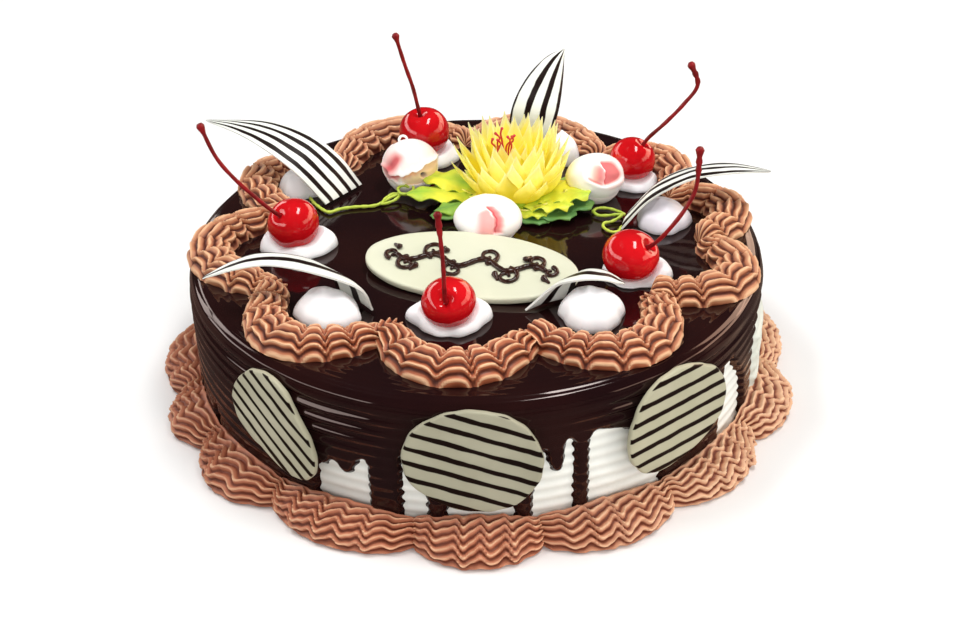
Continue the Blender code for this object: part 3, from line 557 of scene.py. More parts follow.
def cake_side():
    n = 480
    deg = np.arange(n) * 360.0 / n
    z = np.concatenate([np.linspace(0.0, 47.0, 112), np.linspace(47.4, 51.3, 6)])
    A, Z = np.meshgrid(deg, z, indexing="ij")
    r = 98.2 - 0.42 * (1.0 - comb(Z, A, 4.1)) ** 1.2 + 0.12 * wob(A * 1.7, Z, seed=3, scale=0.05)
    r = r - np.clip((Z - 47.4) / 3.9, 0, 1) ** 2 * 4.1
    # the cream swells past the glaze in the opening on the right
    phi = (A - 270.0 + 180.0) % 360.0 - 180.0
    ragged = 0.5 * np.sin(TAU * Z / 5.6 + 0.4) + 0.3 * np.sin(TAU * Z / 3.3 + 2.0)
    r = r + (2.8 + ragged) * smooth((phi - 70.6 - 0.5 * ragged) / 2.6) * (1 - smooth((phi - 87.0) / 7.0)) * (1 - smooth((Z - 31.0) / 9.0))
    x, y = polar_xy(r, A)
    P = np.stack([x, y, Z], -1)
    m = P.shape[1]
    s = Shape()
    faces = quads(n, m, True, False)
    verts = np.concatenate([P.reshape(-1, 3), [[0, 0, 0], [0, 0, 51.3]]])
    for i in range(n):
        j = (i + 1) % n
        faces.append((n * m, j * m, i * m))
        faces.append((n * m + 1, i * m + m - 1, j * m + m - 1))
    # painted shade: how deep a point lies in a comb groove, which greys the cream colour there
    groove = (1.0 - comb(Z, A, 4.1)) ** 1.2
    s.add(verts, faces, groove=np.concatenate([groove.reshape(-1), [0.0, 0.0]]))
    return s.make("cream_side", MATS["cream"], "cake_body")


def window_lines():
    """Openings below the glaze round the back: middle, half width and top."""
    wins = []
    for k in range(6):
        c = 180.0 + (k - 2.5) * 21.0
        wins.append((c, (3.6, 5.2, 2.6, 4.4)[k % 4], (31.0, 24.0, 36.0, 27.0)[(k * 3) % 4]))
    return wins


EDGE_AT, EDGE_Z = [k[0] for k in CREAM_EDGE], [k[1] for k in CREAM_EDGE]
# which way the ridges push each upright edge of an opening
LEAN_AT = [-31.7, -26.0, -20.5, -17.4, -14.4, -11.8, -9.3, -7.8, -6.1, 0.0, 6.8, 8.1, 9.5, 14.5, 17.9, 19.2, 20.5, 30.0, 36.8, 45.0, 53.8, 60.0, 65.8, 68.4, 71.2, 80.0, 94.8]
LEAN = [1, 0, -1, 0, 1, 0, -1, 0, 1, 0, -1, 0, 1, 0, -1, 0, 1, 0, -1, 0, 1, 0, -1, 0, 1, 0, -1]


def glaze_depth(A, Z):
    """How far inside the glazed part of the side a point lies, in mm (negative in an opening)."""
    wins = window_lines()
    phi = (A - 270.0 + 180.0) % 360.0 - 180.0
    inside_open = np.zeros(A.shape, bool)
    k = CAKE_R * PI / 180.0
    low = 3.0

    def top_of(p, wiggle):
        """Upper edge of the openings at an angle, seen with ridge-wise wiggles."""
        lean = np.interp(p, LEAN_AT, LEAN)
        t = np.interp(p + wiggle * lean, EDGE_AT, EDGE_Z)
        for i, (c, hw, top) in enumerate(wins):
            d = (p - c + 180.0) % 360.0 - 180.0
            x = np.abs(d + wiggle * np.sign(d)) / hw
            e = low + (top - low) * np.sqrt(np.clip(1.0 - x ** 4, 0, 1))
            e = e + 0.5 * np.sin(d * 2.3 + i) * (x < 0.8)
            t = np.where(x < 1.0, np.maximum(t, e), t)
        return t
    wig = 0.30 * np.sin(TAU * Z / 3.2 + 1.1 * np.round(phi / 7.0))
    inside_open = Z < top_of(phi, wig)
    # distance to the edge, by looking a short way along and across
    best = np.full(A.shape, 4.0)
    for dx, dz in [(r * math.cos(t), r * math.sin(t)) for r in (0.35, 0.7, 1.05, 1.4, 1.8, 2.3, 3.0) for t in np.arange(12) * TAU / 12]:
        other = (Z + dz) < top_of(phi + dx / k, wig)
        d = math.hypot(dx, dz) - 0.17
        best = np.where(other != inside_open, np.minimum(best, d), best)
    return np.where(inside_open, -best, best)


def glaze():
    front = np.arange(176.0, 364.0, 0.36)
    back = np.arange(364.2, 535.8, 1.1)
    deg = np.concatenate([front, back]) % 360.0
    n = len(deg)
    z_side = np.linspace(3.2, 46.8, 74)
    A, Z = np.meshgrid(deg, z_side, indexing="ij")
    d = glaze_depth(A, Z)
    # soften the stepped distances
    for _ in range(2):
        d = 0.25 * (np.roll(d, 1, 0) + np.roll(d, -1, 0)) + 0.5 * d
        d[:, 1:-1] = 0.25 * (d[:, :-2] + d[:, 2:]) + 0.5 * d[:, 1:-1]
    t = np.where(d > 0, 1.55 * np.sqrt(np.clip(1.0 - (1.0 - np.clip(d / 2.0, 0, 1)) ** 2, 0, 1)), np.maximum(d * 0.9, -0.9))
    phi = (A - 270.0 + 180.0) % 360.0 - 180.0
    left = smooth((-7.0 - phi) / 24.0)
    right = smooth((phi - 8.0) / 25.0)
    high = smooth((Z - 24.0) / 14.0)
    amp = 0.10 + 0.85 * np.maximum(left * (0.35 + 0.65 * high), 0.8 * right * (0.2 + 0.8 * high)) + 0.2 * smooth((Z - 38.0) / 6.0)
    ridge = comb(Z, A, 4.1)
    r = 98.45 + t + np.where(d > 0, amp * (ridge ** 1.5 - 0.6) * np.clip(d / 1.6, 0, 1), 0.0)
    r += 0.10 * wob(A * 1.75, Z, seed=5, scale=0.03) * np.clip(d, 0, 1)
    rings = [(r, Z)]
    q = np.linspace(0.0, 1.0, 15)[1:]
    rs = CAKE_R - SHOULDER + SHOULDER * np.cos(q * PI / 2)
    zs = CAKE_TOP - SHOULDER + SHOULDER * np.sin(q * PI / 2)
    A2, R2 = np.meshgrid(deg, rs, indexing="ij")
    _, Z2 = np.meshgrid(deg, zs, indexing="ij")
    uneven = 0.22 * wob(A2 * 1.75, Z2 * 2, seed=9, scale=0.04)
    marks = 0.15 * np.sin(TAU * (q * SHOULDER * PI / 2)[None, :] / 2.6 + 0.8 * np.sin(np.radians(A2) * 3.0)) * np.sin(q * PI * 0.75)[None, :] ** 0.5
    rings.append((R2 + (uneven * (1 - q)[None, :] + marks * np.cos(q * PI / 2)[None, :]),
                  Z2 + 0.12 * uneven + marks * np.sin(q * PI / 2)[None, :]))
    rr = np.concatenate([np.linspace(94.0, 86.0, 12), np.linspace(84.0, 4.0, 15)])
    A3, R3 = np.meshgrid(deg, rr, indexing="ij")
    x3, y3 = polar_xy(R3, A3)
    Z3 = CAKE_TOP + 0.16 * wob(x3, y3, seed=21, scale=0.022) * smooth((96 - R3) / 6.0)
    Z3 = Z3 + 0.06 * np.sin(TAU * (94.5 - R3) / 2.6 + 1.3 + 0.8 * np.sin(np.radians(A3) * 3.0)) * smooth((R3 - 84.0) / 4.0)
    rings.append((R3, np.minimum(Z3, Z0 - 0.02)))
    R = np.concatenate([k[0] for k in rings], 1)
    Zc = np.concatenate([k[1] for k in rings], 1)
    AA = np.repeat(deg[:, None], R.shape[1], 1)
    x, y = polar_xy(R, AA)
    P = np.stack([x, y, Zc], -1)
    m = P.shape[1]
    faces = quads(n, m, True, False)
    verts = np.concatenate([P.reshape(-1, 3), [[0, 0, z_side[0] + 1.0], [0, 0, CAKE_TOP]]])
    for i in range(n):
        j = (i + 1) % n
        faces.append((n * m, j * m, i * m))
        faces.append((n * m + 1, i * m + m - 1, j * m + m - 1))
    s = Shape()
    s.add(verts, faces)
    return s.make("glaze_coat", MATS["glaze"], "chocolate_glaze")


# ---- piped borders ---------------------------------------------------------
def top_rope():
    s = Shape()
    rnd = np.random.RandomState(11)
    K, per = 6, 7
    nt = K * per + 1
    th = np.linspace(0.0, PI, nt)
    for i, a0 in enumerate(TOP_CUSPS):
        a1 = TOP_CUSPS[i + 1] if i + 1 < len(TOP_CUSPS) else TOP_CUSPS[0] + 360.0
        u = np.linspace(0.0, 1.0, 1600)
        base = lerp(TOP_CUSP_R[i], TOP_CUSP_R[(i + 1) % 10], u)
        r = base + (TOP_TIPS[i] - base) * np.sin(PI * u) ** 0.9
        x, y = polar_xy(r, lerp(a0, a1, u))
        line, q = even(np.stack([x, y, u], 1), 0.55)
        u = line[:, 2]
        L = q[-1]
        xy = line[:, :2].copy()
        for _ in range(3):
            xy[1:-1] = 0.25 * (xy[:-2] + xy[2:]) + 0.5 * xy[1:-1]
        T = np.gradient(xy, axis=0)
        T /= np.linalg.norm(T, axis=1)[:, None]
        N = np.stack([T[:, 1], -T[:, 0]], 1)
        half = 4.2 + 3.3 * np.sin(PI * np.clip(u, 0, 1)) ** 0.6
        period = rnd.uniform(7.6, 9.2)
        warp = np.cumsum(1.0 + 0.22 * np.sin(q / 11.0 * TAU / 2 + rnd.uniform(0, 6))) * 0.55
        ph = warp / period + rnd.uniform(0, 1)
        ph = ph + 0.09 * np.sin(TAU * ph)
        arch = np.sqrt(np.sin(PI * ph) ** 2 + 0.03)
        swing = -np.cos(TAU * ph + 0.45 * np.sin(TAU * ph)) * (0.8 + 0.35 * np.sin(q / 7.3 + 2.0 * i))
        cap = np.sqrt(np.clip(1 - (1 - np.clip(q / 2.6, 0, 1)) ** 2, 0.02, 1)) * np.sqrt(np.clip(1 - (1 - np.clip((L - q) / 3.4, 0, 1)) ** 2, 0.02, 1))
        strong = smooth(q / 6.0) * smooth((L - q) / 10.0) * 0.75 + 0.25
        pulse = 1.0 + 0.10 * (arch - 0.62) * strong
        w = half * cap * pulse
        h = 7.4 * (0.62 + 0.38 * np.sin(PI * np.clip(u, 0, 1)) ** 0.6) * cap * (1.0 + 0.16 * (arch - 0.6) * strong)
        h = h * (1.0 - 0.30 * np.exp(-((L - q) / 6.0) ** 2))
        lift = 2.0 * np.exp(-(q / 6.5) ** 2) * cap
        lat = -0.55 * swing * strong * (0.85 + 0.3 * np.sin(q / 17.0 + i))
        TH, W = np.meshgrid(th, w)
        H = np.repeat(h[:, None], nt, 1)
        roll = 0.17 * swing[:, None] * strong[:, None] + 0.035 * wob(q[:, None], TH * 3.0, seed=131 + i, scale=0.17)
        rib = (0.5 + 0.5 * np.cos(2.0 * K * (TH + roll))) ** 1.5
        depth = 1.75 * cap[:, None] * np.minimum(1.0, half[:, None] / 6.0) * (0.35 + 0.65 * np.sin(TH) ** 0.4)
        X = -np.cos(TH) * (W + 0.3 - depth * (1 - rib))
        Z = np.sin(TH) ** 0.66 * (H + 0.3 - depth * (1 - rib))
        fold = 0.45 * (arch - 0.6)[:, None] * np.sin(TH) * strong[:, None]
        X = X + lat[:, None] + 0.24 * wob(q[:, None] * 0.9, TH * 6.0, seed=31 + i, scale=0.25)
        Z = Z + fold + 0.14 * wob(q[:, None], TH * 7.0, seed=51 + i, scale=0.2) * np.sin(TH)
        Z = np.maximum(Z, 0.0) + Z0 - 0.25 + lift[:, None] * np.sin(TH) ** 0.3
        rr = np.stack([xy[:, 0, None] + N[:, 0, None] * X, xy[:, 1, None] + N[:, 1, None] * X, Z], -1)
        verts, faces = tube(rr)
        # painted shade: rib tones from shaded groove to lit crest, dimmer where the arches pinch
        shade = rib * (0.75 + 0.25 * np.clip((arch[:, None] - 0.1) / 0.5, 0, 1))
        shade = np.concatenate([shade.reshape(-1), [0.5, 0.5]])
        s.add(verts, faces, rib=shade)
    return s.make("top_rope", MATS["piping"], "top_border", 75)


def base_rope():
    s = Shape()
    rnd = np.random.RandomState(23)
    cusps = list(BASE_CUSPS)
    last, end = cusps[-1], cusps[0] + 360.0
    cusps += [last + (end - last) / 8 * i for i in range(1, 8)]
    K, per = 6, 8
    nt = K * per + 1
    fine = np.linspace(0.0, PI / 2, 600)
    run = np.concatenate([[0.0], np.cumsum(np.hypot(np.diff(12.0 * np.sin(fine) ** 0.85), np.diff(10.0 * np.cos(fine) ** 0.62)))])
    down = np.linspace(0.0, PI / 2, nt)
    th = np.interp(down / (PI / 2), run / run[-1], fine)
    for i, a0 in enumerate(cusps):
        a1 = cusps[i + 1] if i + 1 < len(cusps) else cusps[0] + 360.0
        tip = 114.0 + 0.8 * math.sin(2.4 * i)
        arc = (a1 - a0) * PI / 180.0 * 107.0
        L = arc + 4.0
        n = int(L / 0.6)
        q = np.linspace(-2.4, arc + 1.6, n)
        u = np.clip(q / arc, 0.0, 1.0)
        deg = a0 + q / 107.0 * 180.0 / PI
        out = 105.6 + (tip - 105.6) * np.sin(PI * u) ** 0.7
        h = 11.2 * (0.76 + 0.24 * (out - 105.6) / 8.4)
        s0, s1 = q + 2.4, arc + 1.6 - q
        cap = np.sqrt(np.clip(1 - (1 - np.clip(s0 / 2.6, 0, 1)) ** 2, 0.03, 1)) * np.sqrt(np.clip(1 - (1 - np.clip(s1 / 2.6, 0, 1)) ** 2, 0.03, 1))
        period = rnd.uniform(8.2, 10.2)
        ph = q / period + rnd.uniform(0, 1) + 0.12 * np.sin(q / 9.0 + i)
        tall = 0.75 + 0.4 * np.sin(q / 6.1 + 1.7 * i) * np.sin(q / 3.7 + i)
        wave = tall * np.sin(TAU * ph + 0.75 * np.sin(TAU * ph))
        strong = smooth(s0 / 6.0) * smooth(s1 / 6.0) * 0.7 + 0.3
        lift = np.exp(-(s0 / 6.0) ** 2) * 1.3
        TH = np.repeat(th[None], n, 0)
        TS = np.repeat(down[None], n, 0)
        roll = 0.13 * wave[:, None] * strong[:, None] * np.sin(np.clip(TS / (PI / 2), 0, 1) * PI) ** 0.35
        roll = roll + 0.030 * wob(q[:, None], TS * 3.0, seed=91 + i, scale=0.16)
        # crumbly on the right
        crumb = smooth((np.cos(np.radians(deg)) - 0.50) / 0.35)[:, None] * cap[:, None]
        roll = roll + 0.035 * crumb * wob(q[:, None], TS * 6.0, seed=31 + i, scale=0.33)
        rib = (0.5 + 0.5 * np.cos(4.0 * K * (TS - roll))) ** 1.3
        foot = smooth((TS / (PI / 2) - 0.965) / 0.035)
        rib = rib * (1.0 - foot) + 0.3 * foot
        head = smooth(TS / 0.14)
        rib = rib * head + 0.6 * (1.0 - head)
        depth = 1.7 * cap[:, None] * (1.0 + 0.25 * wob(q[:, None], TS * 4.0, seed=95 + i, scale=0.1))
        reach = (out - 99.6)[:, None] * cap[:, None]
        R = np.sin(TH) ** 0.85 * (reach - depth * (1 - rib) * 0.9)
        Z = np.cos(TH) ** 0.62 * (h[:, None] * cap[:, None] - depth * (1 - rib))
        R = R + 0.5 * wave[:, None] * strong[:, None] * np.sin(TH) ** 1.3 * cap[:, None]
        Z = Z - 0.35 * wave[:, None] * strong[:, None] * np.cos(TH) * cap[:, None]
        # the last rib rolls under at the foot
        R = R + (0.2 + 0.25 * (TS / (PI / 2)) ** 4) * wob(q[:, None], TS * 7.0, seed=71 + i, scale=0.2)
        R = R + 0.40 * crumb * np.sin(TH) * wob(q[:, None], TS * 9.0, seed=41 + i, scale=0.36)
        Z = np.maximum(Z + lift[:, None] * np.cos(TH) ** 0.4, 0.0)
        Z[:, -1] = 0.0
        DEG = np.repeat(deg[:, None], nt, 1) + 0.35 * np.sin(TAU * ph)[:, None] * np.sin(TH) * 0.6
        x, y = polar_xy(99.6 + R, DEG)
        top = np.stack([x, y, Z], -1)
        xi, yi = polar_xy(99.0, deg)
        inner = np.stack([xi, yi, np.zeros(n)], -1)[:, None]
        verts, faces = tube(np.concatenate([inner, top], 1))
        # painted shade: rib tones from shaded groove to lit crest
        shade = np.concatenate([np.zeros((n, 1)), rib * (0.86 + 0.14 * wave[:, None])], 1)
        s.add(verts, faces, rib=np.concatenate([shade.reshape(-1), [0.5, 0.5]]))
    return s.make("base_rope", MATS["piping_base"], "base_border", 75)


# ---- discs -----------------------------------------------------------------
# stripes: slope of the lines across the disc, bend, and heights where they cross its middle
DISC_STRIPES = [(-0.74, 0.003, [-20.8, -14.7, -8.6, -2.6, 3.4, 9.5, 15.6, 21.7, 27.4]),
                (-0.345, 0.0, [-16.8, -11.2, -4.9, 0.5, 6.4, 12.2, 17.6, 23.0]),
                (0.0, 0.0004, [-13.9, -8.7, -3.0, 2.6, 7.9, 13.5, 19.3])]


def stripe_count(w, marks):
    """Running number of the stripe at a place across them: whole numbers are stripe middles."""
    m = np.asarray(marks, float)
    first, last = 0.5 * (m[1] - m[0]), 0.5 * (m[-1] - m[-2])
    xs = np.concatenate([[m[0] - first], m, [m[-1] + last]])
    ks = np.concatenate([[0.5], np.arange(1, len(m) + 1), [len(m) + 0.5]])
    return np.interp(w, xs, ks)


# outline of each disc: middle along and up, mean radius, then how far it bulges twice and three times round
DISC_SHAPES = [(2.4, 32.0, 17.4, 0.4, -2.6, -0.8, -1.2),
               (1.0, 33.1, 20.6, 1.4, -0.5, -0.3, 0.1),
               (-1.3, 33.2, 20.0, 1.6, 0.25, 0.7, -0.35)]


def disc(index):
    phi, zc = DISCS[index][:2]
    slope, bend, marks = DISC_STRIPES[index]
    sm, zm, mean, c2, s2, c3, s3 = DISC_SHAPES[index]
    n, rings = 112, 16
    a = math.radians(270.0 + phi)
    out = np.array((math.cos(a), math.sin(a), 0.0))
    side = np.array((-math.sin(a), math.cos(a), 0.0))
    up = np.array((0.0, 0.0, 1.0))
    t = np.arange(n) * TAU / n
    rad = mean + c2 * np.cos(2 * t) + s2 * np.sin(2 * t) + c3 * np.cos(3 * t) + s3 * np.sin(3 * t)
    rad = rad * (1.0 + 0.006 * np.sin(7 * t + 2 * index) + 0.005 * np.sin(13 * t) + 0.004 * np.sin(19 * t + index))
    prof = [(0.90, 0.0), (0.985, 0.0), (1.0, 0.35), (1.0, 1.35), (0.988, 1.8), (0.965, 2.0)]
    prof += [(k, 2.0) for k in np.linspace(0.92, 0.04, rings)]
    S, H, D = [], [], []
    for f, depth in prof:
        S.append(sm * 1.0 + rad * f * np.cos(t))
        H.append(zm - zc + rad * f * np.sin(t))
        D.append(np.full(n, depth))
    S, H, D = np.array(S), np.array(H), np.array(D)
    D = D + np.where(D > 1.9, 0.12 * wob(S, H, seed=index + 80, scale=0.03), 0.0)
    P = (CAKE_R + 0.4 + D)[:, :, None] * out + S[:, :, None] * side + (zc + H)[:, :, None] * up
    w = H - slope * S - bend * S * S
    k = stripe_count(w, marks)
    face = np.where(D > 1.5, 1.0, 0.0)
    verts, faces = tube(P)
    att = np.concatenate([k.reshape(-1), [0.5, float(stripe_count(np.array([zm - zc - slope * sm - bend * sm * sm]), marks)[0])]])
    fa = np.concatenate([face.reshape(-1), [0.0, 1.0]])
    s = Shape()
    # painted shade: how far each disc's pale colour is darkened
    s.add(verts, faces, stripe=att, face=fa, shade=(0.35, 1.0, 0.0)[index])
    return s.make("striped_disc_%d" % (index + 1), MATS["disc"], "disc_%d" % (index + 1), 50)


# ---- curls -----------------------------------------------------------------
CURL_MARKS = [[0.14, 0.38, 0.62, 0.86],
              [-0.04, 0.34, 0.67, 0.985],
              [0.10, 0.45, 0.80],
              [0.42, 0.98],
              [0.38, 0.95]]


def curl(index):
    ea, eb = CURLS[index]
    m, n = 64, 15
    t = np.linspace(0.0, 0.992, m)
    A, B = catmull(ea, t), catmull(eb, t)
    v = np.linspace(0.0, 1.0, n)
    P = A[:, None] * (1 - v)[None, :, None] + B[:, None] * v[None, :, None]
    du, dv = np.gradient(P, axis=0), np.gradient(P, axis=1)
    N = np.cross(du, dv)
    N /= np.linalg.norm(N, axis=2)[:, :, None] + 1e-9
    if N[:, :, 2].sum() < 0:
        N = -N
    bow = 0.9 * np.sin(PI * v)[None, :] * (1.0 - 0.8 * t)[:, None]
    bow = bow + 0.10 * np.sin(t * 23.0 + index)[:, None] * np.sin(v * 4.0)[None, :]
    P = P + N * bow[:, :, None]
    P[0, :, 2] = np.maximum(P[0, :, 2], Z0)
    verts, faces = slab(P, (1.25 * (1.0 - 0.3 * t))[:, None], 0.55)
    V = np.repeat(v[None], m, 0)
    k = stripe_count(V, CURL_MARKS[index]).reshape(-1)
    s = Shape()
    s.add(verts, faces, stripe=np.concatenate([k, k]), face=1.0)
    return s.make("chocolate_curl_%d" % (index + 1), MATS["curl"], "curl_%d" % (index + 1), 50)


# ---- cream dollops ---------------------------------------------------------
def foot_of(node, cx, cy, deg, count):
    """Reach of a node's foot from a point, against direction, from its count corners."""
    co = np.array([v.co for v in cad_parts[node].data.vertices]) / MM
    dx, dy = co[:, 0] - cx, co[:, 1] - cy
    ang = np.degrees(np.arctan2(dy, dx)) % 360.0
    rad = np.hypot(dx, dy)
    step = 360.0 / count
    near = np.round(ang / step).astype(int) % count
    vs = np.array([rad[near == k].max() if (near == k).any() else 0.0 for k in range(count)])
    ks = np.arange(-1, count + 1) * step
    return np.interp(deg % 360.0, ks, np.concatenate([vs[-1:], vs, vs[:1]]))


CREAM_REACH = [
    [(15, 13.9), (29, 14.6), (45, 13.5), (90, 12.5), (135, 13.3), (149, 14.2), (165, 14.4), (182, 12.2), (200, 10.8),
     (225, 9.6), (250, 8.8), (272, 8.6), (316, 10.2), (347, 12.0)],
    [(3, 14.2), (19, 13.5), (37, 12.0), (90, 11.0), (140, 10.8), (172, 11.8), (192, 13.4), (206, 11.6), (238, 9.6),
     (270, 10.8), (300, 12.2), (331, 13.4)],
    [(11, 15.2), (23, 15.4), (36, 14.8), (70, 13.0), (110, 12.0), (150, 11.0), (200, 7.6), (240, 7.2), (284, 7.6),
     (320, 9.8), (345, 12.8)],
    None,
    [(0, 12.5), (45, 11.5), (90, 11.0), (150, 11.5), (190, 13.0), (215, 13.2), (240, 12.0), (270, 11.0), (300, 12.8),
     (325, 13.6), (345, 13.4)]]


def dollop(index):
    n, m = 96, 40
    deg = np.arange(n) * 360.0 / n
    if index < 5:
        cx, cy, rr, h, ox, oy, hr, hz, under = CHERRIES[index]
    else:
        cx, cy, rr, h, lx, ly = PLAIN[index - 5]
    node = "dollop_%d" % (index + 1)
    if index < 5:
        cx, cy = ox, oy
    reach = foot_of(node, cx, cy, deg, 12)
    reach = np.minimum(reach, np.median(reach) * 1.10)
    for _ in range(60):
        reach = 0.25 * (np.roll(reach, 1) + np.roll(reach, -1)) + 0.5 * reach
    if index < 5 and CREAM_REACH[index]:
        at, far = zip(*CREAM_REACH[index])
        reach = np.interp(deg, at, far, period=360.0)
        for _ in range(6):
            reach = 0.25 * (np.roll(reach, 1) + np.roll(reach, -1)) + 0.5 * reach
    a = np.radians(deg)
    lump = 1.0 + 0.035 * np.sin(3 * a + index) + 0.03 * np.sin(5 * a + 2.1 * index) + 0.02 * np.sin(9 * a + index)
    f = np.linspace(1.0, 0.0, m)[:-1]
    A, F = np.meshgrid(a, f, indexing="ij")
    R0 = np.repeat((reach * lump)[:, None], m - 1, 1)
    if index < 5:
        H = (h + 1.2) * (1.0 - F ** 6.0) ** 0.5
        X = cx + R0 * F * np.cos(A)
        Y = cy + R0 * F * np.sin(A)
        dist = np.hypot(X - ox, Y - oy) / hr
        press = np.exp(-(dist / 0.92) ** 4) * 2.2
        ringup = 0.7 * np.exp(-((dist - 1.12) / 0.16) ** 2)
        H = np.maximum(H - press + ringup * np.minimum(1, (1 - F) * 5), 0.0)
        H = H * (1.10 - 0.46 * np.clip(-np.sin(A) - 0.15, 0, 1) * F + 0.14 * np.sin(4.0 * A + 1.3 * index) * F)
        H = H + 0.55 * wob(X, Y, seed=index + 5, scale=0.055) * np.minimum(1.0, (1 - F) * 4)
        H = H + 0.25 * np.sin(3.0 * A + 5.0 * F + index) * np.sin(PI * F)
        belly = under - CHERRY_LOW + hz * CHERRY_TALL * (1.0 - np.sqrt(np.clip(1.0 - (dist * 1.0) ** 2, 0.0, 1.0)))
        H = np.where(dist < 1.0, np.minimum(H, np.maximum(belly + 0.45, 0.3)), H)
        H = np.where(dist >= 1.0, np.minimum(H, under - CHERRY_LOW + hz * CHERRY_TALL * (0.62 + 0.2 * np.sin(A)) + 3.0 * (dist - 1.0)), H)
        Z = Z0 + np.maximum(H, 0.0)
    else:
        g = 1.0 - F
        H = h * (0.86 * (1.0 - F ** 3.0) ** 0.60 + 0.14 * np.exp(-(F / 0.18) ** 2))
        turn = 0.9 * g
        X = cx + R0 * F * np.cos(A + 0.0 * turn) + lx * g ** 1.6
        Y = cy + R0 * F * np.sin(A + 0.0 * turn) + ly * g ** 1.6
        H = H + 0.42 * np.sin(2.0 * A + 6.0 * F + index) * np.sin(PI * F) ** 1.2
        H = H + 0.35 * wob(X, Y, seed=index + 15, scale=0.05) * np.minimum(1.0, g * 3)
        if index == 7:
            # flattened on two sides where the nozzle left it
            H = H - 0.9 * smooth((np.cos(A - 4.1) * F - 0.15) / 0.35) * np.sin(PI * F) - 0.8 * smooth((np.cos(A - 5.6) * F - 0.2) / 0.3) * np.sin(PI * F)
            H = np.maximum(H, 0.0)
        Z = Z0 + np.maximum(H, 0.0)
    P = np.stack([X, Y, Z], -1).transpose(1, 0, 2)
    foot = P[0].copy()
    foot[:, :2] = (foot[:, :2] - [cx, cy]) * 0.93 + [cx, cy]
    foot[:, 2] = Z0 - 0.2
    P[0, :, 2] = Z0 + 0.35
    P = np.concatenate([foot[None], P])
    verts, faces = tube(P)
    s = Shape()
    # painted shade on the third plain peak
    s.add(verts, faces, shade=0.8 if index == 7 else 0.0)
    name = "cherry_cream_%d" % (index + 1) if index < 5 else "cream_peak_%d" % (index - 4)
    return s.make(name, MATS["whipped"], node, 80)


# ---- cherries --------------------------------------------------------------
def cherry(index):
    x, y, r, half, under = CHERRIES[index][4:]
    half, under = half * CHERRY_TALL, under - CHERRY_LOW
    axis = Vector(AIMS[index]).normalized()
    turn = np.array(Vector((0, 0, 1)).rotation_difference(axis).to_matrix())
    centre = np.array((x, y, Z0 + under + half))
    n, m = 64, 44
    lat = np.linspace(-0.497, 0.497, m) * PI
    lon = np.arange(n) * TAU / n
    LA, LO = np.meshgrid(lat, lon, indexing="ij")
    rho = np.cos(LA)
    zz = np.sin(LA) * 0.98
    dimple = (0.30, 0.12, 0.26, 0.26, 0.26)[index] * np.exp(-(rho / 0.26) ** 2) * (LA > 0)
    blossom = 0.05 * np.exp(-(rho / 0.14) ** 2) * (LA < 0)
    zz = zz - dimple + blossom
    crease = 1.0 - 0.018 * np.exp(-(((LO - 1.2 + PI) % TAU - PI) / 0.25) ** 2)
    lumpy = 1.0 + 0.012 * np.sin(2 * LO + index) * rho + 0.010 * np.sin(3 * LA + 2 * LO + index)
    q = np.stack([rho * np.cos(LO) * crease * lumpy, rho * np.sin(LO) * crease * lumpy, zz], -1) @ turn.T
    P = centre + q * np.array((r, r, half))
    verts, faces = tube(P)
    s = Shape()
    s.add(verts, faces)
    ob = s.make("glossy_cherry_%d" % (index + 1), MATS["cherry"], "cherry_%d" % (index + 1), 80)
    foot = centre + (turn @ np.array((0.0, 0.0, 0.84 if index == 1 else 0.70))) * np.array((r, r, half))
    ax = np.array(axis)
    pts = [foot - ax * 0.6, foot + ax * 4.2] + [np.array(p) for p in STEMS[index]]
    line, _ = even(catmull(pts, np.linspace(0, 1, 200)), 0.9)
    k = np.linspace(0, 1, len(line))
    rad = 0.72 + 0.12 * np.sin(k * 31.0 + index) * 0.3 + 0.75 * np.clip((k - 0.90) / 0.07, 0, 1) ** 1.5 + 0.35 * np.exp(-(k / 0.03) ** 2)
    if index in (0, 2, 3):
        # lumpy where it was picked
        rad = rad + 0.50 * np.exp(-((k - 0.885) / 0.024) ** 2) + 0.34 * np.exp(-((k - 0.815) / 0.022) ** 2)
    rad[-1] *= 0.65
    rings = pipe(line, rad, 12)
    verts, faces = tube(rings)
    s = Shape()
    s.add(verts, faces)
    s.make("curved_stem_%d" % (index + 1), MATS["stem"], "stem_%d" % (index + 1), 70)
    return ob


# ---- roses -----------------------------------------------------------------
# each rose is seen from its open end: across and along the opening run from -1 to 1
ROSE_AXES = [(0.03, -0.87, 0.48), (0.0, -0.86, 0.50), (-0.06, -0.87, 0.48)]
ROSE_SHIFT = [(-1.2, 0.0, 0.90, 1.0), (0.3, 0.0, 1.06, 0.93), (-1.2, 1.8, 1.07, 0.97)]
ROSE_LIP = [(-1.0, -0.06), (-0.91, -0.20), (-0.75, -0.38), (-0.61, -0.46), (-0.31, -0.49), (-0.05, -0.43),
            (0.22, -0.33), (0.48, -0.14), (0.70, 0.02), (0.93, 0.22), (1.0, 0.30)]
ROSE_FOOT = [(-1.0, -0.46), (-0.87, -0.56), (-0.60, -0.66), (-0.38, -0.76), (-0.10, -0.90), (0.20, -1.0), (1.0, -1.2)]
ROSE_FOLD = [None,
             [(-0.68, 0.16), (-0.19, 0.24), (0.0, 0.20), (0.20, 0.12), (0.50, -0.08)],
             [(-0.38, 0.33), (0.0, 0.38), (0.28, 0.38), (0.50, 0.24), (0.66, 0.18)]]


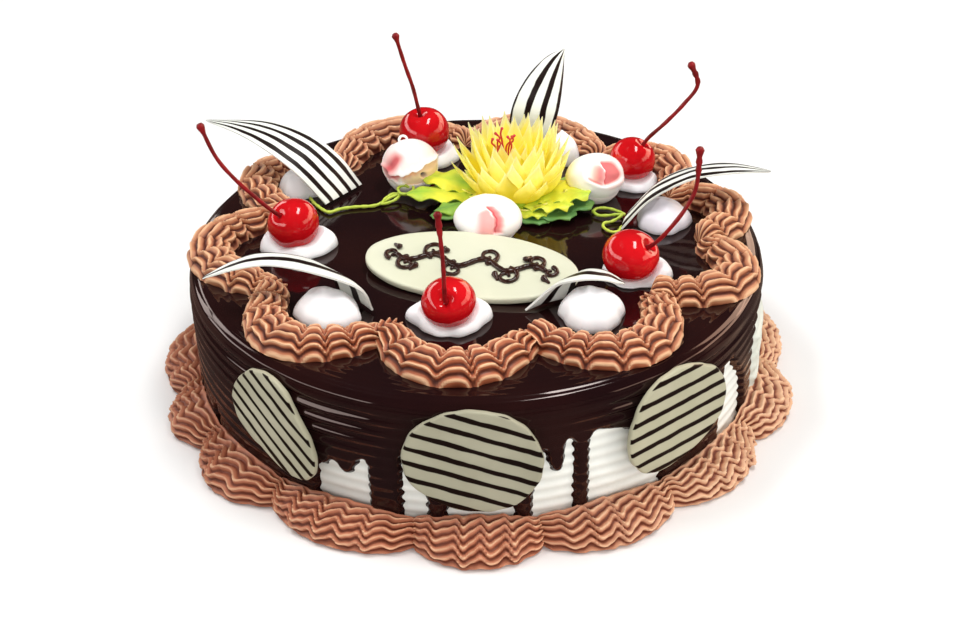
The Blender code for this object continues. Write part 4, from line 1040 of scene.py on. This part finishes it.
def rose_look(index, u, v):
    """Radius, pink, warm and the painted shadow of a hole over the open side of a rose."""
    one = np.ones(u.shape)
    warm, dark = 0.0 * one, 0.0 * one
    if index == 0:
        g = v - np.interp(u, *zip(*ROSE_LIP)) - 0.03 * np.sin(13.0 * u + 1.0) - 0.015 * np.sin(29.0 * u)
        h = v - np.interp(u, *zip(*ROSE_FOOT)) - 0.03 * np.sin(17.0 * u)
        over, low = smooth((g + 0.015) / 0.03), smooth((0.015 - h) / 0.03)
        ruffle = 0.5 + 0.5 * np.sin(9.0 * u + 2.5 * v)
        top = 0.93 + 0.085 * np.exp(-(g / 0.16) ** 2) + 0.02 * ruffle - 0.05 * np.exp(-(((u - 0.30) + 0.5 * (v - 0.35)) / 0.10) ** 2) * smooth(g / 0.2)
        heart = np.exp(-(((u + 0.64) * 0.61 + (v - 0.00) * 0.79) / 0.46) ** 4 - (((u + 0.64) * 0.79 - (v - 0.00) * 0.61) / 0.23) ** 2)
        top = top - 0.10 * heart
        inner = 0.84 + 0.05 * smooth((-g - 0.05) / 0.3)
        rad = lerp(inner, top, over)
        rad = lerp(rad, 0.95 + 0.03 * np.sin(11.0 * u), low)
        # a small hole pressed in, its inside a painted shadow
        hole = np.exp(-((np.hypot(u - 0.50, v + 0.52)) / 0.10) ** 4)
        rad = rad - 0.22 * hole
        dark = hole
        tint = over * (0.92 * heart + 0.04 + 0.13 * smooth((u - 0.1) / 0.3) * smooth((v - 0.05) / 0.4) + 0.14 * smooth((-0.35 - u) / 0.2))
        # painted shadow: a pink-red line under the top petal's lip
        tint = tint + (1 - over) * (1 - low) * (0.80 * np.exp(-((g + 0.05) / 0.12) ** 2) * smooth((0.60 - u) / 0.5) + 0.45 * smooth((-0.35 - u) / 0.3))
        warm = (1 - over) * (1 - low) * 0.70 * smooth((u + 0.55) / 0.5) + over * 0.10 * smooth((u - 0.2) / 0.5) + low * 0.12
        return rad, tint, warm, dark
    fold = u - np.interp(v, *zip(*ROSE_FOLD[index])) + 0.012 * np.sin(21.0 * v)
    if index == 1:
        span = smooth((0.52 - v) / 0.10) * smooth((v + 0.74) / 0.12)
        groove = np.exp(-(fold / 0.035) ** 2) * span
        left = smooth((0.0 - fold) / 0.05) * smooth((u + 0.46) / 0.34) * smooth((0.46 - v + 0.5 * u) / 0.24) * smooth((v + 0.90) / 0.30)
        right = smooth(fold / 0.03) * smooth((0.34 - fold) / 0.24) * span
        edge = np.exp(-((fold + 0.055) / 0.035) ** 2) * smooth((v + 0.1) / 0.2) * span
        rad = 0.955 + 0.030 * left + 0.02 * edge - 0.07 * groove - 0.045 * right
        tint = 0.58 * left * (1 - edge) + 0.84 * right + 0.70 * groove
        warm = 0.10 * smooth((u - 0.3) / 0.4)
        return rad, tint, warm, dark
    e = np.hypot((u - 0.33) / 0.67, (v - 0.15) / 0.58) + 0.03 * np.sin(5.0 * np.arctan2(v - 0.15, u - 0.33))
    cup = smooth((1.02 - e) / 0.18) * (0.25 + 0.75 * smooth((u + 0.22) / 0.40))
    rim = np.exp(-((e - 1.10) / 0.14) ** 2)
    span = smooth((0.70 - v) / 0.08) * smooth((v + 0.50) / 0.14)
    groove = np.exp(-(fold / 0.030) ** 2) * span
    left = np.exp(-((u - 0.04) / 0.36) ** 4 - ((v - 0.08) / 0.42) ** 4) * smooth(-fold / 0.05)
    right = smooth(fold / 0.03) * cup
    hook = np.exp(-((fold + 0.05) / 0.045) ** 2) * smooth((v - 0.12) / 0.12) * smooth((0.64 - v) / 0.08)
    fall = np.exp(-((e - 0.90) / 0.07) ** 2) * smooth((-0.02 - v) / 0.12) * smooth((0.40 - u) / 0.2)
    rad = 0.955 - 0.11 * cup + 0.025 * rim + 0.075 * left * cup + 0.035 * hook - 0.05 * groove + 0.02 * right * np.sin(9.0 * v)
    side = smooth((u + 0.42) / 0.42)
    tint = cup * (0.86 * left * side + 0.92 * right) + 0.30 * groove - 0.60 * hook + 0.62 * fall
    tint = tint + 0.22 * rim * smooth((u - 0.30) / 0.3)
    warm = 0.34 * left * cup * smooth((0.22 - u) / 0.3) * (1 - hook)
    return rad, tint, warm, dark


def rose(index):
    """A rounded bud of wrapped pale petals round a folded pink heart, open at one end."""
    cx, cy, R, H = ROSES[index]
    sx, sy, wide, tall = ROSE_SHIFT[index]
    cx, cy, R, H = cx + sx, cy + sy, R * wide, H * tall
    s = Shape()
    size3 = np.array((R * 0.99, R * 0.99, 0.515 * H))
    w = np.array(ROSE_AXES[index]) / size3
    w = w / np.linalg.norm(w)
    e1 = np.cross((0.0, 0.0, 1.0), w)
    e1 = e1 / np.linalg.norm(e1)
    if e1[0] < 0:
        e1 = -e1
    e2 = np.cross(w, e1)
    if e2[2] < 0:
        e2 = -e2
    centre = np.array((cx, cy, Z0 + 0.49 * H))
    n, m = 168, 92
    rings = np.concatenate([np.linspace(178.0, 92.0, 22), np.linspace(89.5, 0.8, m)])
    TH, A = np.meshgrid(np.radians(rings), np.arange(n) * TAU / n, indexing="ij")
    u, v = np.sin(TH) * np.cos(A), np.sin(TH) * np.sin(A)
    near = smooth((np.radians(93.0) - TH) / np.radians(5.0))
    rad, tint, warm, dark = rose_look(index, u, v)
    # the backs of the outer petals, one lapping over the next
    turn = (3.0 * A / TAU + 0.55 * np.cos(TH) + 0.3 * index) % 1.0
    lap = smooth(turn / 0.05) * (1.0 - turn)
    back = 0.955 + 0.05 * (lap - 0.5)
    rad = lerp(back, rad, near) * (1.0 + 0.014 * np.sin(3.0 * A + 2.0 * TH + index) * np.sin(TH))
    tint, warm, dark = tint * near, warm * near, dark * near
    d = (u[..., None] * e1 + v[..., None] * e2 + np.cos(TH)[..., None] * w)
    P = centre + rad[..., None] * d * size3
    P[..., 2] = np.maximum(P[..., 2], Z0 + 0.3)
    verts, faces = tube(P)

    def ends(x, first=0.0):
        return np.concatenate([np.clip(x, 0, 1).reshape(-1), [first, float(np.clip(x[-1, 0], 0, 1))]])

    s.add(verts, faces, tint=ends(tint), warm=ends(warm), dark=ends(dark))
    if index == 0:
        # a corner of the top petal rolled into a small ring
        hub = centre + 0.98 * (-0.22 * e1 + 0.93 * e2 + 0.24 * w) * size3
        t = np.linspace(0, TAU * 1.08, 40)
        loop = hub + (1.45 * np.cos(t)[:, None] * e1 + 1.45 * np.sin(t)[:, None] * e2) + (0.5 * t / TAU)[:, None] * w
        verts, faces = tube(pipe(loop, np.full(40, 0.48), 10))
        s.add(verts, faces, tint=0.06)
    # foot under the petals
    k = np.linspace(0, 1, 8)
    a = np.arange(28) * TAU / 28
    rad = R * (0.60 + 0.22 * np.sin(k * PI / 2))
    A, RR = np.meshgrid(a, rad)
    P = np.stack([cx + RR * np.cos(A), cy + RR * np.sin(A), np.repeat((Z0 + 0.02 + k * H * 0.26)[:, None], 28, 1)], -1)
    verts, faces = tube(P)
    s.add(verts, faces, tint=0.06)
    return s.make("wrapped_rose_%d" % (index + 1), MATS["rose"], "rose_%d" % (index + 1), 60)


def petal(s, base, az, elev0, elev1, length, width, cup, tint=0.0, thick=0.7, twist=0.0):
    """One pointed petal that leaves base towards az and bends from one elevation to another."""
    m, n = 18, 9
    q = np.linspace(0.0, 1.0, m)
    e = np.radians(lerp(elev0, elev1, q ** 1.2))
    step = length / (m - 1)
    run = np.concatenate([[0], np.cumsum(np.cos(e[:-1]) * step)])
    rise = np.concatenate([[0], np.cumsum(np.sin(e[:-1]) * step)])
    a = math.radians(az)
    d, t = np.array((math.cos(a), math.sin(a), 0.0)), np.array((-math.sin(a), math.cos(a), 0.0))
    spine = np.asarray(base, float) + run[:, None] * d + rise[:, None] * np.array((0, 0, 1.0))
    w = width * np.sin(PI * np.clip(q * 0.80 + 0.18, 0, 1) ** 1.05) ** 0.8 * np.clip((1 - q) / 0.5 + 0.04, 0, 1) ** 0.55
    p = np.linspace(-1, 1, n)
    nrm = -np.sin(e)[:, None] * d + np.cos(e)[:, None] * np.array((0, 0, 1.0))
    side = t[None] * math.cos(twist) + nrm * math.sin(twist)
    P = spine[:, None] + side[:, None] * (w[:, None] * p[None, :])[:, :, None]
    P = P + nrm[:, None] * (cup * w[:, None] * (np.abs(p)[None, :] ** 1.6 - 0.3))[:, :, None]
    verts, faces = slab(P, (thick * (1.0 - 0.45 * q))[:, None], 0.4)
    tt = np.clip(tint + 0.80 * q[:, None] ** 2.2 + 0.22 * np.abs(p)[None, :] ** 2, 0, 1)
    s.add(verts, faces, tint=np.concatenate([tt.reshape(-1)] * 2))


def flower():
    s = Shape()
    rnd = np.random.RandomState(5)
    cx, cy = FLOWER
    # (count, start radius, first and last elevation, length, half width, cup, start height)
    layers = [(13, 9.0, 8.0, 40.0, 13.0, 3.8, 0.20, -2.4),
              (15, 11.2, 46.0, 66.0, 18.5, 4.0, 0.22, -2.0),
              (14, 10.4, 56.0, 71.0, 22.5, 4.2, 0.24, -0.8),
              (13, 9.0, 65.0, 78.0, 23.5, 4.2, 0.26, 0.4),
              (11, 6.8, 71.0, 82.0, 24.0, 4.0, 0.28, 1.0),
              (8, 4.6, 76.0, 86.0, 24.0, 3.8, 0.30, 1.4),
              (7, 3.0, 80.0, 87.0, 15.5, 3.6, 0.34, 1.6)]
    for li, (count, r0, e0, e1, length, width, cup, z) in enumerate(layers):
        for k in range(count):
            az = 360.0 * k / count + li * 17.0 + rnd.uniform(-6, 6)
            if li == 5 and math.cos(math.radians(az - 258.0)) > 0.30:
                continue
            a = math.radians(az)
            L = length * rnd.uniform(0.90, 1.06)
            de = rnd.uniform(-4, 4)
            lift = 0.0
            front = max(0.0, math.cos(math.radians(az - 268.0)))
            L *= 1.0 - (0.0, 0.0, 0.03, 0.08, 0.17, 0.25, 0.0)[li] * front ** 2 - 0.05 * max(0.0, -math.cos(math.radians(az - 268.0)))
            for rx, ry, rr, rh in ROSES:
                d = math.hypot(rx - cx, ry - cy)
                ang = abs((math.degrees(math.atan2(ry - cy, rx - cx)) - az + 180) % 360 - 180)
                wide = math.degrees(math.atan2(rr + 3.0, d))
                if ang < wide and li < 2:
                    fr = 1.0 - 0.6 * ang / wide
                    L = min(L, lerp(L, max(d - rr * 0.9, 11.0) / max(math.cos(math.radians(e1)), 0.5), fr))
                    lift += 8.0 * fr
            base = (cx + r0 * math.cos(a), cy + 1.5 + r0 * math.sin(a), FLOWER_Z + 0.4 + z)
            petal(s, base, az, e0 + de + lift, min(e1 + de + lift, 88.0), L, width * rnd.uniform(0.88, 1.12), cup, twist=rnd.uniform(-0.22, 0.22))
    # two broad petals of the bud, in front of the stamens
    for az, r0, e0, e1, L, width in ((236.0, 4.2, 80.0, 86.0, 18.2, 4.6), (278.0, 4.6, 80.0, 86.0, 17.4, 4.8)):
        a = math.radians(az)
        base = (cx + r0 * math.cos(a) - 1.0, cy + 1.5 + r0 * math.sin(a), FLOWER_Z + 2.0)
        petal(s, base, az, e0, e1, L, width, 0.32, twist=0.08)
    # foot that carries the petals
    n, m = 32, 8
    k = np.linspace(0, 1, m)
    a = np.arange(n) * TAU / n
    rad = 11.4 * np.sqrt(np.clip(1 - k ** 2.2, 0.01, 1)) + 0.6
    A, RR = np.meshgrid(a, rad)
    P = np.stack([cx + RR * np.cos(A), cy + 1.5 + RR * np.sin(A), np.repeat((FLOWER_Z - 3.0 + 9.5 * k)[:, None], n, 1)], -1)
    verts, faces = tube(P)
    s.add(verts, faces, tint=0.1)
    return s.make("yellow_flower", MATS["petal"], "flower", 60)


def stamens():
    s = Shape()
    rnd = np.random.RandomState(17)
    cx, cy = FLOWER
    for k in range(7):
        a = TAU * (k + 0.5 * rnd.uniform(-1, 1)) / 7.0
        b = np.array((cx - 3.0 + 0.8 * math.cos(a), cy + 1.2 + 0.8 * math.sin(a), FLOWER_Z + 9.0))
        tip = b + np.array((-0.8 + 3.4 * math.cos(a), 2.0 * math.sin(a) - 0.6, rnd.uniform(11.0, 14.5)))
        low, high = lerp(b, tip, 0.62), lerp(b, tip, 0.82)
        low = low + np.array((rnd.uniform(-0.6, 0.6), 0.3, 0.0))
        high = high + np.array((rnd.choice((-1.0, 1.0)) * rnd.uniform(0.8, 1.5), -0.3, 0.3))
        line = catmull([b, low, high, tip], np.linspace(0, 1, 24))
        rad = np.full(24, 0.34)
        rad[-4:] = (0.42, 0.52, 0.56, 0.34)
        verts, faces = tube(pipe(line, rad, 8))
        s.add(verts, faces)
    return s.make("red_stamens", MATS["stamen"], (), 70)


# ---- leaves and vines ------------------------------------------------------
def leaves():
    s = Shape()
    rnd = np.random.RandomState(9)
    cx, cy = FLOWER
    blades = [(150.0, 0.9), (168.0, 1.0), (184.0, 0.9), (205.0, 0.8), (232.0, 0.8), (262.0, 0.7), (296.0, 1.0),
              (318.0, 1.1), (338.0, 1.1), (356.0, 1.0), (20.0, 0.9), (58.0, 0.9), (95.0, 0.9), (125.0, 0.9)]
    # length, rise at the tip and lightness where they differ from the rest
    more = {168.0: (34.0, 4.2, 0.20), 184.0: (38.5, 1.2, 0.05), 205.0: (31.0, 0.6, -0.30), 296.0: (21.0, 1.2, 0.1),
            318.0: (25.5, 3.6, 0.32), 338.0: (28.0, 4.2, 0.36), 356.0: (25.0, 3.0, 0.30)}
    for bi, (az, scale) in enumerate(blades):
        reach = float(foot_of("flower_leaves", cx, cy, np.array([az]), 32)[0])
        reach, rise, light_add = more.get(az, (reach, 0.0, 0.0))
        a = math.radians(az)
        d, t = np.array((math.cos(a), math.sin(a))), np.array((-math.sin(a), math.cos(a)))
        m, n = 40, 17
        q = np.linspace(0.0, 1.0, m)[:, None]
        p = np.linspace(-1.0, 1.0, n)[None, :]
        L = reach + 0.6
        w = 8.2 * scale * np.sin(PI * np.clip(q * 0.9 + 0.06, 0, 1)) ** 0.75 * (1 + 0.05 * np.sin(q * 40 + bi))
        ruffle = 0.9 * np.abs(p) ** 2 * np.sin(q * 30.0 + np.sign(p) * 1.3 + bi)
        z = 1.2 + 2.7 * np.sin(PI * np.clip(1 - q * 0.8, 0, 1) ** 1.0) * 0.75 + ruffle - 0.8 * p ** 2 * q + 0.5 * (bi % 3) + rise * q ** 1.5
        rr = q * L
        X = cx + d[0] * rr + t[0] * w * p
        Y = cy + d[1] * rr + t[1] * w * p
        Z = Z0 + np.maximum(z, 0.55) + 0 * X
        vein = 0.25 * np.exp(-(p / 0.1) ** 2)
        P = np.stack([X, Y, Z - vein], -1)
        verts, faces = slab(P, 0.9, 0.45)
        tt = np.clip(0.55 + light_add + 0.35 * np.sin(q * 9 + bi) * 0.5 + 0.30 * (np.abs(p) - 0.4) + 0 * X, 0, 1)
        under = 0 * tt
        s.add(verts, faces, tint=np.concatenate([tt.reshape(-1), under.reshape(-1)]))
        if az in (205.0, 296.0, 318.0, 338.0, 356.0):
            # a darker leaf just under this one
            P2 = P.copy()
            P2[..., 0] = cx + (P[..., 0] - cx) * 1.05
            P2[..., 1] = cy + (P[..., 1] - cy) * 1.08
            P2[..., 2] = np.maximum(Z0 + 0.5 + (P[..., 2] - Z0 - 0.5) * 0.45 - 0.2, Z0 + 0.5)
            verts, faces = slab(P2, 0.9, 0.45)
            s.add(verts, faces, tint=0.02)
    return s.make("ruffled_leaves", MATS["leaf"], "flower_leaves", 70)


# lines piped over the top: points, half thickness
VINES = [
    ([(-60.4, 31.8, 54.0), (-57.8, 26.4, 54.0), (-53.1, 20.7, 54.0), (-48.9, 22.8, 54.0), (-43.5, 24.2, 54.0),
      (-37.4, 24.7, 54.0), (-33.8, 26.8, 54.1), (-31.1, 29.5, 54.6), (-27.5, 31.0, 55.2), (-23.8, 29.8, 55.6),
      (-20.8, 27.7, 56.0), (-17.2, 27.6, 56.6)], 0.60),
    ([(-34.1, 25.3, 54.4), (-32.5, 28.8, 54.9), (-30.0, 31.0, 55.4), (-27.4, 30.2, 55.6), (-28.8, 27.2, 55.2),
      (-31.6, 25.4, 54.8), (-34.1, 25.0, 54.5)], 0.54),
    ([(-28.3, 32.2, 56.4), (-26.4, 35.0, 57.4), (-23.6, 34.4, 57.6), (-22.4, 31.0, 57.2), (-24.5, 28.4, 56.8),
      (-27.1, 29.2, 56.6), (-28.0, 32.0, 57.2), (-25.8, 33.0, 57.8), (-23.9, 31.2, 57.9)], 0.54),
    ([(41.9, 17.2, 54.0), (43.9, 20.0, 54.1), (47.5, 19.9, 54.2), (50.9, 17.8, 54.2), (53.3, 14.6, 54.5),
      (50.6, 13.9, 54.9), (47.1, 13.8, 54.6), (43.9, 14.6, 54.3), (41.9, 17.4, 54.8)], 0.54),
    ([(53.0, 14.4, 55.0), (51.4, 12.2, 54.8), (48.6, 10.4, 54.1), (45.7, 9.3, 54.0), (45.3, 6.4, 54.0), (47.5, 3.2, 54.0),
      (50.0, 3.1, 54.0), (51.2, 5.4, 54.0), (52.4, 7.6, 54.2)], 0.54),
    ([(50.2, 3.4, 54.0), (50.6, 0.0, 54.0), (50.4, -3.5, 54.0)], 0.52)]


def vines():
    for k, (pts, rad) in enumerate(VINES):
        s = Shape()
        line, q = even(catmull([(x, y, z) for x, y, z in pts], np.linspace(0, 1, 400)), 0.6)
        r = rad * (1.0 + 0.12 * np.sin(q * 1.9 + k) + 0.06 * np.sin(q * 4.3))
        r[0] *= 0.5
        r[-1] *= 0.5
        verts, faces = tube(pipe(line, r, 10))
        s.add(verts, faces)
        s.make("piped_vine_%d" % (k + 1), MATS["vine"], (), 70)


# ---- plaque ----------------------------------------------------------------
def plaque_point(u, v, h):
    """A point on the plaque: along, across and above its underside."""
    c, sn = math.cos(math.radians(PLAQUE_TURN)), math.sin(math.radians(PLAQUE_TURN))
    tc, ts = math.cos(math.radians(PLAQUE_TILT)), math.sin(math.radians(PLAQUE_TILT))
    v2 = (v + PLAQUE_B) * tc - h * ts - PLAQUE_B
    z = Z0 + (v + PLAQUE_B) * ts + h * tc
    return np.stack([PLAQUE[0] + u * c - v2 * sn, PLAQUE[1] + u * sn + v2 * c, z], -1)


def plaque():
    n = 144
    t = np.arange(n) * TAU / n
    wavy = 1.0 + 0.003 * np.sin(5 * t) + 0.002 * np.sin(11 * t + 1)
    prof = [(0.9, 0.0), (-0.3, 0.0), (0.0, 0.4), (0.0, PLAQUE_T - 0.7), (-0.25, PLAQUE_T - 0.2), (-0.8, PLAQUE_T)]
    prof[0] = (-3.0, 0.0)
    rows = []
    for inset, h in prof:
        rows.append(plaque_point((PLAQUE_A + inset) * np.cos(t) * wavy, (PLAQUE_B + inset) * np.sin(t) * wavy, np.full(n, h)))
    for f in np.linspace(0.94, 0.05, 14):
        u, v = PLAQUE_A * f * np.cos(t), PLAQUE_B * f * np.sin(t)
        rows.append(plaque_point(u, v, PLAQUE_T + 0.08 * wob(u, v, seed=4, scale=0.03)))
    verts, faces = tube(np.array(rows))
    s = Shape()
    s.add(verts, faces)
    s.make("white_plaque", MATS["plaque"], "plaque", 50)


def flourish():
    """A piped ornament for the plaque: a waving stem with spirals and drops, the same both ways."""
    s = Shape()

    def line(uv, r0, r1=None, name=None):
        uv = np.asarray(uv, float)
        pts, q = even(uv, 0.45)
        k = np.linspace(0, 1, len(pts))
        rad = lerp(r0, r0 if r1 is None else r1, k) * (1 + 0.05 * np.sin(q * 2.1))
        rad[0] *= 0.6
        rad[-1] *= 0.6
        P = plaque_point(pts[:, 0], pts[:, 1], PLAQUE_T + rad * 0.55)
        verts, faces = tube(pipe(P, rad, 10))
        s.add(verts, faces)

    k = np.linspace(-1, 1, 300)
    stem = np.stack([26.0 * k, 2.6 * np.sin(k * PI * 3.0) * (1 - 0.25 * np.abs(k))], 1)
    line(stem, 0.98)
    for sgn in (-1, 1):
        # spirals that leave the stem
        for j, (u0, turn, size) in enumerate(((5.0, 1, 4.0), (13.5, -1, 4.2), (21.5, 1, 3.6))):
            a = np.linspace(0, 1, 90)
            rr = size * (1 - 0.86 * a)
            th = -PI / 2 * turn + turn * a * TAU * 1.25
            cu, cv = u0, turn * (size + 0.6)
            uv = np.stack([cu + rr * np.cos(th), cv + rr * np.sin(th)], 1)
            uv = uv * [sgn, sgn]
            line(uv, 0.92, 0.62)
        for j, (u0, v0, ang) in enumerate(((9.2, -4.2, -60.0), (17.6, 4.2, 55.0), (25.5, -3.6, -35.0))):
            a = math.radians(ang)
            b = np.linspace(0, 1, 12)[:, None]
            uv = (np.array((u0, v0)) + b * 3.6 * np.array((math.cos(a), math.sin(a)))) * [sgn, sgn]
            line(uv, 1.25, 0.45)
        a = np.linspace(0, 1, 80)
        rr = 2.6 * (1 - 0.8 * a)
        th = PI / 2 - a * TAU * 1.1
        uv = np.stack([27.5 + rr * np.cos(th), -2.6 + rr * np.sin(th) + 2.4], 1) * [sgn, sgn]
        line(uv, 0.9, 0.6)
    return s.make("plaque_scroll", MATS["scroll"], (), 70)


# ---- build -----------------------------------------------------------------
cake_side()
glaze()
top_rope()
base_rope()
for i in range(3):
    disc(i)
for i in range(5):
    curl(i)
for i in range(10):
    dollop(i)
for i in range(5):
    cherry(i)
for i in range(3):
    rose(i)
flower()
stamens()
leaves()
vines()
plaque()
flourish()


# ---- floor, light and camera -----------------------------------------------
def floor():
    me = bpy.data.meshes.new("floor")
    bm = bmesh.new()
    bmesh.ops.create_grid(bm, x_segments=8, y_segments=8, size=4.0)
    for v in bm.verts:
        v.co.z = -0.0003
    bm.to_mesh(me)
    bm.free()
    me.materials.append(MATS["floor"])
    ob = bpy.data.objects.new("floor", me)
    bpy.context.scene.collection.objects.link(ob)
    ob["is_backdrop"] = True


def light(name, place, target, size, size_y, power, colour=(1, 1, 1), shine=True, fill=True):
    data = bpy.data.lights.new(name, "AREA")
    data.shape = "RECTANGLE"
    data.size, data.size_y = size, size_y
    data.energy = power
    data.color = colour
    ob = bpy.data.objects.new(name, data)
    ob.location = place
    ob.visible_glossy = shine
    ob.visible_diffuse = fill
    ob.rotation_euler = (Vector(target) - Vector(place)).to_track_quat("-Z", "Y").to_euler()
    bpy.context.scene.collection.objects.link(ob)


floor()
light("left_lamp", (-0.46, 0.10, 1.10), (0, 0, 0.05), 0.52, 0.18, 5.6, (1.0, 0.99, 0.97), shine=False)
light("left_shine", (-0.46, 0.10, 1.10), (0, 0, 0.05), 0.52, 0.18, 2.6, (1.0, 0.99, 0.97), fill=False)
light("right_lamp", (0.30, 0.00, 1.14), (0, 0, 0.05), 0.60, 0.18, 5.6, (1.0, 0.99, 0.97))
light("right_shine", (0.30, 0.00, 1.14), (0, 0, 0.05), 0.60, 0.18, 2.6, (1.0, 0.99, 0.97), fill=False)
light("front_fill", (0.15, -1.30, 0.62), (0, 0, 0.03), 0.80, 0.50, 4.6, shine=False)
light("right_fill", (1.05, -0.45, 0.40), (0, 0, 0.03), 0.50, 0.40, 4.0, (1.0, 0.96, 0.88), shine=False)
for k, (az, wide, tall, power, colour) in enumerate((
        (212.0, 0.90, 0.34, 4.6, (1.0, 0.92, 0.88)), (172.0, 0.90, 0.34, 4.6, (1.0, 0.92, 0.88)),
        (132.0, 0.90, 0.34, 4.0, (1.0, 0.90, 0.85)), (-24.0, 0.80, 0.40, 3.2, (1.0, 0.74, 0.58)),
        (14.0, 0.90, 0.50, 6.8, (1.0, 0.68, 0.50)), (50.0, 0.90, 0.50, 6.8, (1.0, 0.68, 0.50)))):
    a = math.radians(az)
    light("band_%d" % k, (1.3 * math.cos(a), 1.3 * math.sin(a), 0.52), (0, 0, 0.04), wide, tall, power, colour, fill=False)

world = bpy.data.worlds.new("studio")
bpy.context.scene.world = world
world.use_nodes = True
nt = world.node_tree
bg = nt.nodes["Background"]
bg.inputs["Color"].default_value = (1.0, 1.0, 1.0, 1.0)
bg.inputs["Strength"].default_value = 0.50
dim = nt.nodes.new("ShaderNodeBackground")
dim.inputs["Color"].default_value = (1.0, 0.78, 0.70, 1.0)
dim.inputs["Strength"].default_value = 0.05
path = nt.nodes.new("ShaderNodeLightPath")
both = nt.nodes.new("ShaderNodeMixShader")
nt.links.new(path.outputs["Is Glossy Ray"], both.inputs[0])
nt.links.new(bg.outputs[0], both.inputs[1])
nt.links.new(dim.outputs[0], both.inputs[2])
nt.links.new(both.outputs[0], nt.nodes["World Output"].inputs["Surface"])
sc = bpy.context.scene
sc.view_settings.view_transform = "Standard"
sc.view_settings.look = "None"
sc.view_settings.exposure = 0.0
sc.view_settings.gamma = 1.0

cam_data = bpy.data.cameras.new("camera")
cam_data.sensor_width = 36.0
cam_data.lens = 65.29
cam_data.clip_start, cam_data.clip_end = 0.01, 20.0
cam = bpy.data.objects.new("camera", cam_data)
bpy.context.scene.collection.objects.link(cam)
rgt = (0.99987109, -0.00864596, -0.01352972)
upv = (0.01605634, 0.53840727, 0.84253179)
fwd = (0.0, 0.84264, -0.53848)
loc = (0.0011, -0.52973, 0.35852)
cam.matrix_world = Matrix(((rgt[0], upv[0], -fwd[0], loc[0]), (rgt[1], upv[1], -fwd[1], loc[1]),
                           (rgt[2], upv[2], -fwd[2], loc[2]), (0, 0, 0, 1)))
bpy.context.scene.camera = cam

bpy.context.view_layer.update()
tris = {o.name: sum(len(p.vertices) - 2 for p in o.data.polygons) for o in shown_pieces() if o.type == "MESH"}
print("pieces", len(tris), "triangles", sum(tris.values()), "most", max(tris.values()))
